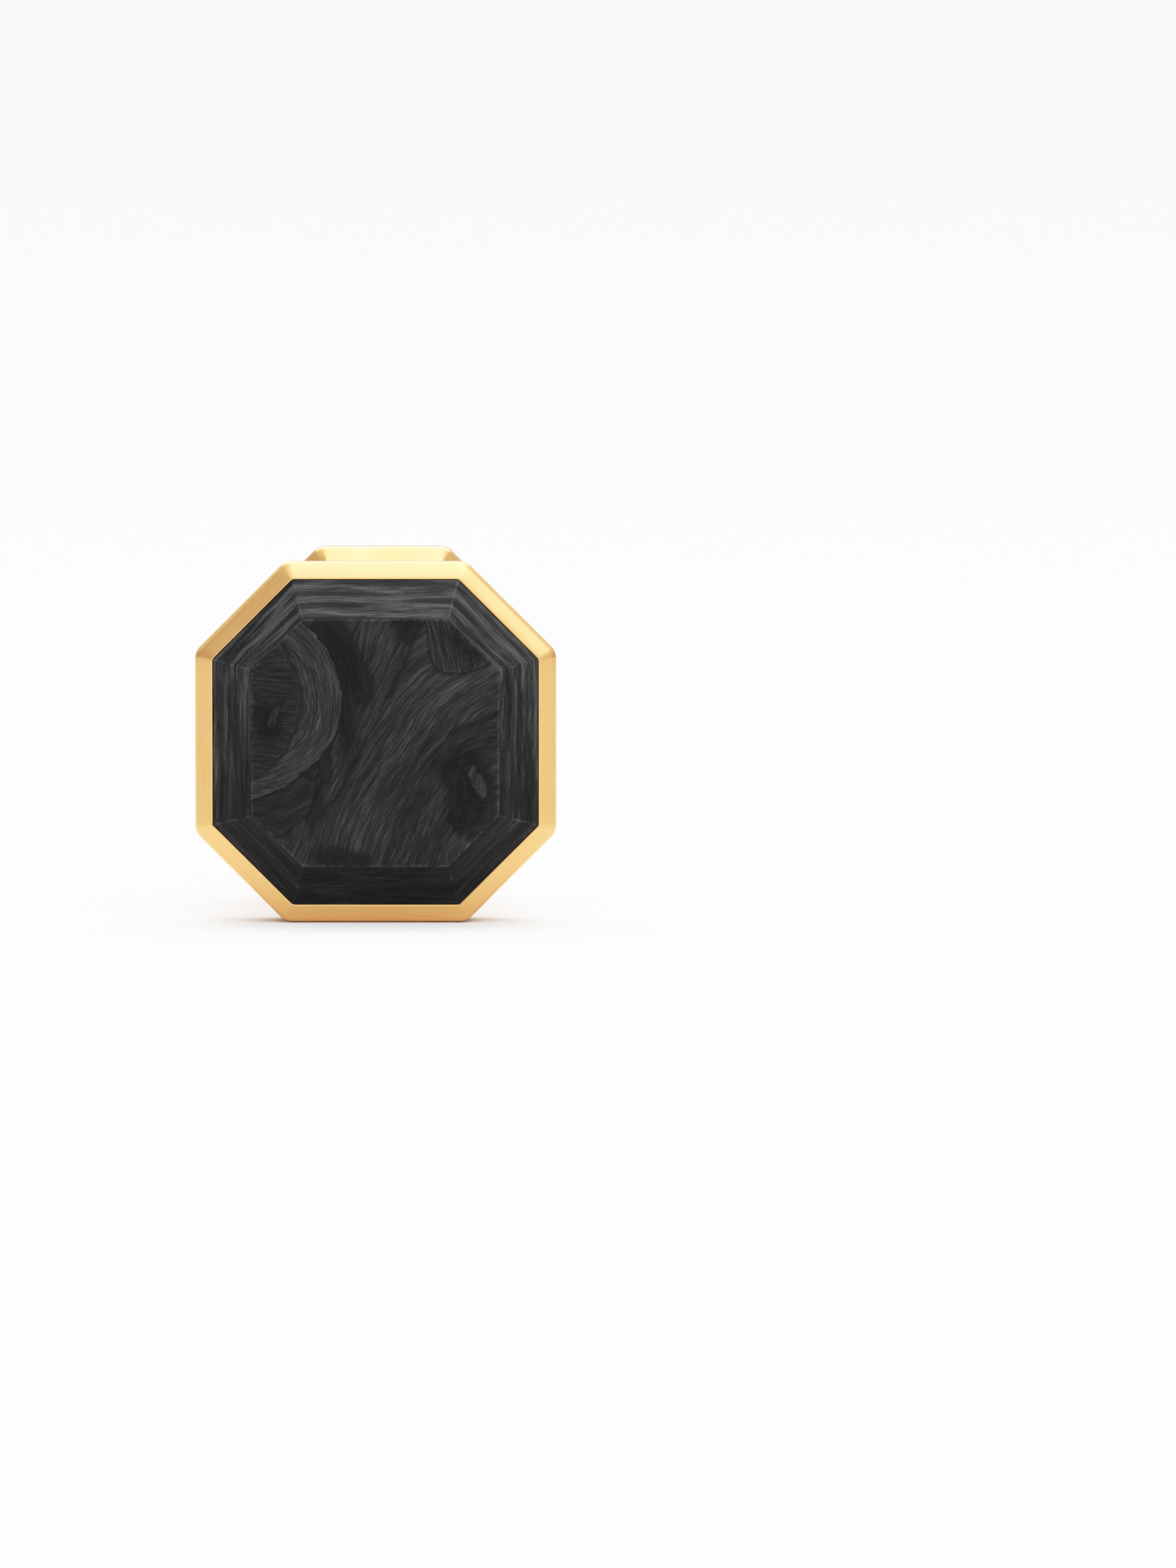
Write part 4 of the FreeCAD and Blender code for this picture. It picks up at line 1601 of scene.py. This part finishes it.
@dataclass
class Toggle:
    """The swivel bar: a hollow shell with cut corners, its inner plate and the hinge knuckle."""

    width: float = NODES["toggle_shell"].width
    length: float = NODES["toggle_shell"].height
    cut: float = 1.5
    corner_radius: float = 0.8
    edge_radius: float = 0.40
    grip: float = NODES["toggle_shell"].front
    back: float = NODES["toggle_shell"].back
    inner_bevel: Span = (1.0, 1.0)
    outer_bevel: Span = (1.4, 0.9)
    wall: float = 0.6
    ledge: float = 0.35
    floor: float = 0.9
    plate_thickness: float = NODES["toggle_plate"].depth
    plate_gap: float = 0.02
    plate_edge: float = 0.05
    fit: float = Post.fit
    pivot: float = Post.pivot
    pin_play: float = 0.03
    knuckle_width: float = NODES["toggle_knuckle"].width
    knuckle_half: float = NODES["toggle_knuckle"].height / 2.0
    knuckle_radius: float = 1.1
    knuckle_edge: float = 0.06

    CAM_STEPS: ClassVar[int] = 10
    EDGE_STEPS: ClassVar[int] = 2

    @property
    def opening(self) -> float:
        """How far the plate's opening lies inside the bar's outline."""
        return self.inner_bevel[0] + self.wall

    @property
    def plate_back(self) -> float:
        """The depth of the plate's hidden side, which lies on the shell's ledge."""
        return self.grip + self.plate_thickness

    def outline(self, by: float, depth: float, bend: float = 0.0) -> Outline:
        """The bar's outline, inset.

        Args:
            by: how far it lies inside the bar's widest outline.
            depth: its place along Y.
            bend: the radius of the section's turn there.

        Returns:
            The outline.
        """
        whole = Outline(self.width, self.length, self.cut, self.corner_radius, depth)
        inside = whole.inset(by, depth, None, bend)
        return replace(inside, round=self.corner_radius * inside.cut / self.cut)

    def build(self) -> None:
        """Models and dresses the toggle's three pieces."""
        self.shell()
        self.plate()
        self.knuckle()

    def shell(self) -> None:
        """The hollow bar with its bevelled sides and the ledge for the plate."""
        hollow = self.opening + self.ledge
        section = [
            self.outline(hollow, self.back - self.floor),
            self.outline(hollow, self.plate_back),
            self.outline(self.opening, self.plate_back),
            self.outline(self.opening, self.grip, self.plate_edge),
            self.outline(self.inner_bevel[0], self.grip, self.plate_edge),
            self.outline(0.0, self.grip + self.inner_bevel[1], self.edge_radius),
            self.outline(0.0, self.back - self.outer_bevel[1], self.edge_radius),
            self.outline(self.outer_bevel[0], self.back, self.edge_radius),
            self.outline(hollow, self.back),
        ]
        piece = Stack(section, ring=False).build("toggle_bar")
        Bench.finish(piece, "toggle_shell", Body.TOGGLE, Slot.FITTING_GOLD, [POLISHED_GOLD])

    def plate(self) -> None:
        """The plate in the bar's opening, with the slot for the knuckle's neck."""
        inset, middle = self.opening + self.plate_gap, self.opening + self.ledge
        section = [
            self.outline(middle, self.plate_back),
            self.outline(inset, self.plate_back),
            self.outline(inset, self.grip, self.plate_edge),
            self.outline(middle, self.grip),
        ]
        piece = Stack(section, ring=False).build("toggle_cover", fan=False)
        half, tall = self.knuckle_width / 2.0 + self.fit, self.knuckle_half + self.fit
        slot = Bench.block("neck_slot", (-half, self.grip - self.wall, AXIS_Z - tall),
                           (half, self.plate_back + self.wall, AXIS_Z + tall))
        Bench.combine(piece, slot, Combined.CUT)
        Bench.finish(piece, "toggle_plate", Body.TOGGLE, Slot.FITTING_GOLD, [POLISHED_GOLD])

    def knuckle(self) -> None:
        """The cam on the hinge rivet, with two rounded corners and its bore."""
        half, tall = self.knuckle_width / 2.0, self.knuckle_half
        front, back = self.pivot - tall, self.plate_back
        piece = Bench.block("hinge_knuckle", (-half, front, AXIS_Z - tall), (half, back, AXIS_Z + tall))
        Bench.round_edges(self.knuckle_radius, self.CAM_STEPS, lambda edge: Bench.run_x(edge) > half
                          and all(abs(vert.co.y - front) < self.fit for vert in edge.verts))
        Bench.round_edges(self.knuckle_edge, self.EDGE_STEPS, lambda edge: Bench.run_x(edge) < self.fit
                          and min(vert.co.y for vert in edge.verts) < back - self.fit)
        start = (-self.knuckle_width, self.pivot, AXIS_Z)
        radius = Post.pin_radius + self.pin_play
        bore = Bench.bar("bore", radius, start, 2.0 * self.knuckle_width, Axis.X)
        Bench.combine(piece, bore, Combined.CUT)
        Bench.finish(piece, "toggle_knuckle", Body.TOGGLE, Slot.FITTING_GOLD, [POLISHED_GOLD])


# The stage


class Way(Enum):
    """The ways that light is measured along: right, to either side, back, up and towards the key light."""

    RIGHT = "right"
    SIDE = "side"
    BACK = "back"
    UP = "up"
    KEY = "key"


@dataclass(frozen=True)
class Panel:
    """A soft panel of light: its level, and the ways along which it fades in, from none to whole."""

    level: float
    fades: tuple[tuple[Way, Span], ...]


@dataclass
class Studio:
    """The pale stage: floor, backdrop, soft light and the camera at the photograph's angle."""

    picture: tuple[int, int] = (1659, 2212)
    pixels_per_mm: float = 28.4
    distance: float = 500.0
    elevation: float = 3.7
    aim: Triple = (10.55, -9.875, 6.92)
    sensor: float = 36.0
    clip_start: float = 0.01
    floor_size: float = 3000.0
    floor_drop: float = 0.01
    floor_margin: float = 1.0
    pale: float = 0.76
    roughness: float = 0.9

    # The light all round: dim below, and above the horizon a level that leans to the right and back.
    ground_level: float = 0.12
    sky_level: float = 0.74
    sky_right: float = 0.14
    sky_back: float = 0.15
    sky_span: Span = (0.20, 0.50)
    key_way: Triple = (0.36, -0.72, 0.59)
    # In front of the part, towards the key light, above and behind it, and at its two sides.
    panels: tuple[Panel, ...] = (
        Panel(2.8, ((Way.RIGHT, (0.62, 0.28)), (Way.RIGHT, (-0.40, -0.05)), (Way.UP, (0.24, 0.46)),
                    (Way.BACK, (0.20, -0.20)))),
        Panel(1.9, ((Way.KEY, (0.90, 0.975)),)),
        Panel(5.6, ((Way.SIDE, (0.75, 0.40)), (Way.UP, (0.55, 0.80)), (Way.BACK, (-0.10, 0.30)))),
        Panel(0.45, ((Way.SIDE, (0.72, 0.92)), (Way.UP, (0.05, 0.30)))),
    )

    # The film-like shoulder: scene levels and the levels shown for them, up to the level shown as white.
    white: float = 4.4
    shoulder: tuple[Span, ...] = ((0.25, 0.255), (0.45, 0.47), (0.62, 0.60), (0.87, 0.75), (1.15, 0.86),
                                  (1.5, 0.95), (2.2, 0.987))

    SWEEP_STEPS: ClassVar[int] = 24
    # The view curve that acts on all three channels.
    COMBINED_CURVE: ClassVar[int] = 3

    def build(self) -> None:
        """Sets up the whole stage."""
        self.floor()
        self.world()
        self.camera()
        self.tone()

    def floor(self) -> None:
        """A plain white sweep: a floor that curves up far behind the part."""
        floor = Bench.begin("stage_floor")
        half = self.floor_size / 2.0
        back = half - self.floor_margin
        bpy.ops.mesh.primitive_plane_add(size=self.floor_size, location=(0.0, 0.0, -self.floor_drop))
        Bench.pick(Part.EDGES, lambda edge: all(vert.co.y > back for vert in edge.verts))
        Bench.draw_out((0.0, 0.0, half))
        Bench.round_edges(half / 2.0, self.SWEEP_STEPS, lambda edge: all(
            vert.co.y > back and vert.co.z < half / 2.0 for vert in edge.verts))
        bpy.ops.mesh.select_all(action="SELECT")
        bpy.ops.transform.resize(value=(METRES_PER_MM,) * 3, center_override=(0.0, 0.0, 0.0))
        Bench.take(floor)
        bpy.ops.object.shade_smooth()
        floor.data.materials.append(self._paint())
        floor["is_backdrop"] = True

    def _paint(self) -> bpy.types.Material:
        """The stage's one plain, pale colour.

        Returns:
            The material.
        """
        paint = bpy.data.materials.new("stage_white")
        paint.use_nodes = True
        colour = (self.pale, self.pale, self.pale, 1.0)
        Graph(paint.node_tree).surface({
            "Base Color": colour, "Roughness": self.roughness, "Specular IOR Level": 0.0,
        })
        return paint

    def world(self) -> None:
        """Soft light: a nearly even sky above the horizon, and brighter panels round the part."""
        world = bpy.data.worlds.new("studio_light")
        world.use_nodes = True
        bpy.context.scene.world = world
        graph = Graph(world.node_tree)
        x, y, z = graph.parts(graph.node("ShaderNodeTexCoord").outputs["Generated"])
        key = x * self.key_way[0] + y * self.key_way[1] + z * self.key_way[2]
        ways = {Way.RIGHT: x, Way.SIDE: abs(x), Way.BACK: y, Way.UP: z, Way.KEY: key}
        sky = x * self.sky_right + y * self.sky_back + self.sky_level
        level = z.step(*self.sky_span) * sky + self.ground_level
        for panel in self.panels:
            part: Term = panel.level
            for way, span in panel.fades:
                part = ways[way].step(*span) * part
            level = level + part
        light = {"Color": (1.0, 1.0, 1.0, 1.0), "Strength": level}
        shader = graph.node("ShaderNodeBackground", None, light)
        graph.node("ShaderNodeOutputWorld", None, {"Surface": shader.outputs[0]})

    def camera(self) -> None:
        """The camera, aimed so that the part stands where it does in the photograph."""
        bpy.ops.object.camera_add()
        camera = bpy.context.object
        camera.name = "photo_camera"
        rise = math.radians(self.elevation)
        back = Vector((0.0, -math.cos(rise), math.sin(rise)))
        camera.location = (Vector(self.aim) + back * self.distance) * METRES_PER_MM
        camera.rotation_euler = (QUARTER_TURN - rise, 0.0, 0.0)
        camera.data.sensor_width = self.sensor
        camera.data.lens = self.sensor * self.distance * self.pixels_per_mm / self.picture[1]
        camera.data.clip_start = self.clip_start
        bpy.context.scene.camera = camera

    def tone(self) -> None:
        """Gives the view its shoulder, so that bright gold goes to cream and the stage to white."""
        view = bpy.context.scene.view_settings
        view.view_transform = "Standard"
        view.use_curve_mapping = True
        curves = view.curve_mapping
        curves.white_level = (self.white,) * 3
        line = curves.curves[self.COMBINED_CURVE]
        for level, shown in self.shoulder:
            line.points.new(level / self.white, shown)
        curves.update()


def main() -> None:
    """Builds the sub-assemblies in order and measures the part's bounds."""
    logging.basicConfig(level=logging.INFO, format="%(name)s %(message)s")
    for assembly in (Case(), Post(), Toggle(), Studio()):
        assembly.build()
    Bench.clear()
    boxes = {"cad": CAD_BOX, "visual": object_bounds()}
    {name: [list(corner) for corner in box] for name, box in boxes.items()}


if __name__ == "__main__":
    main()
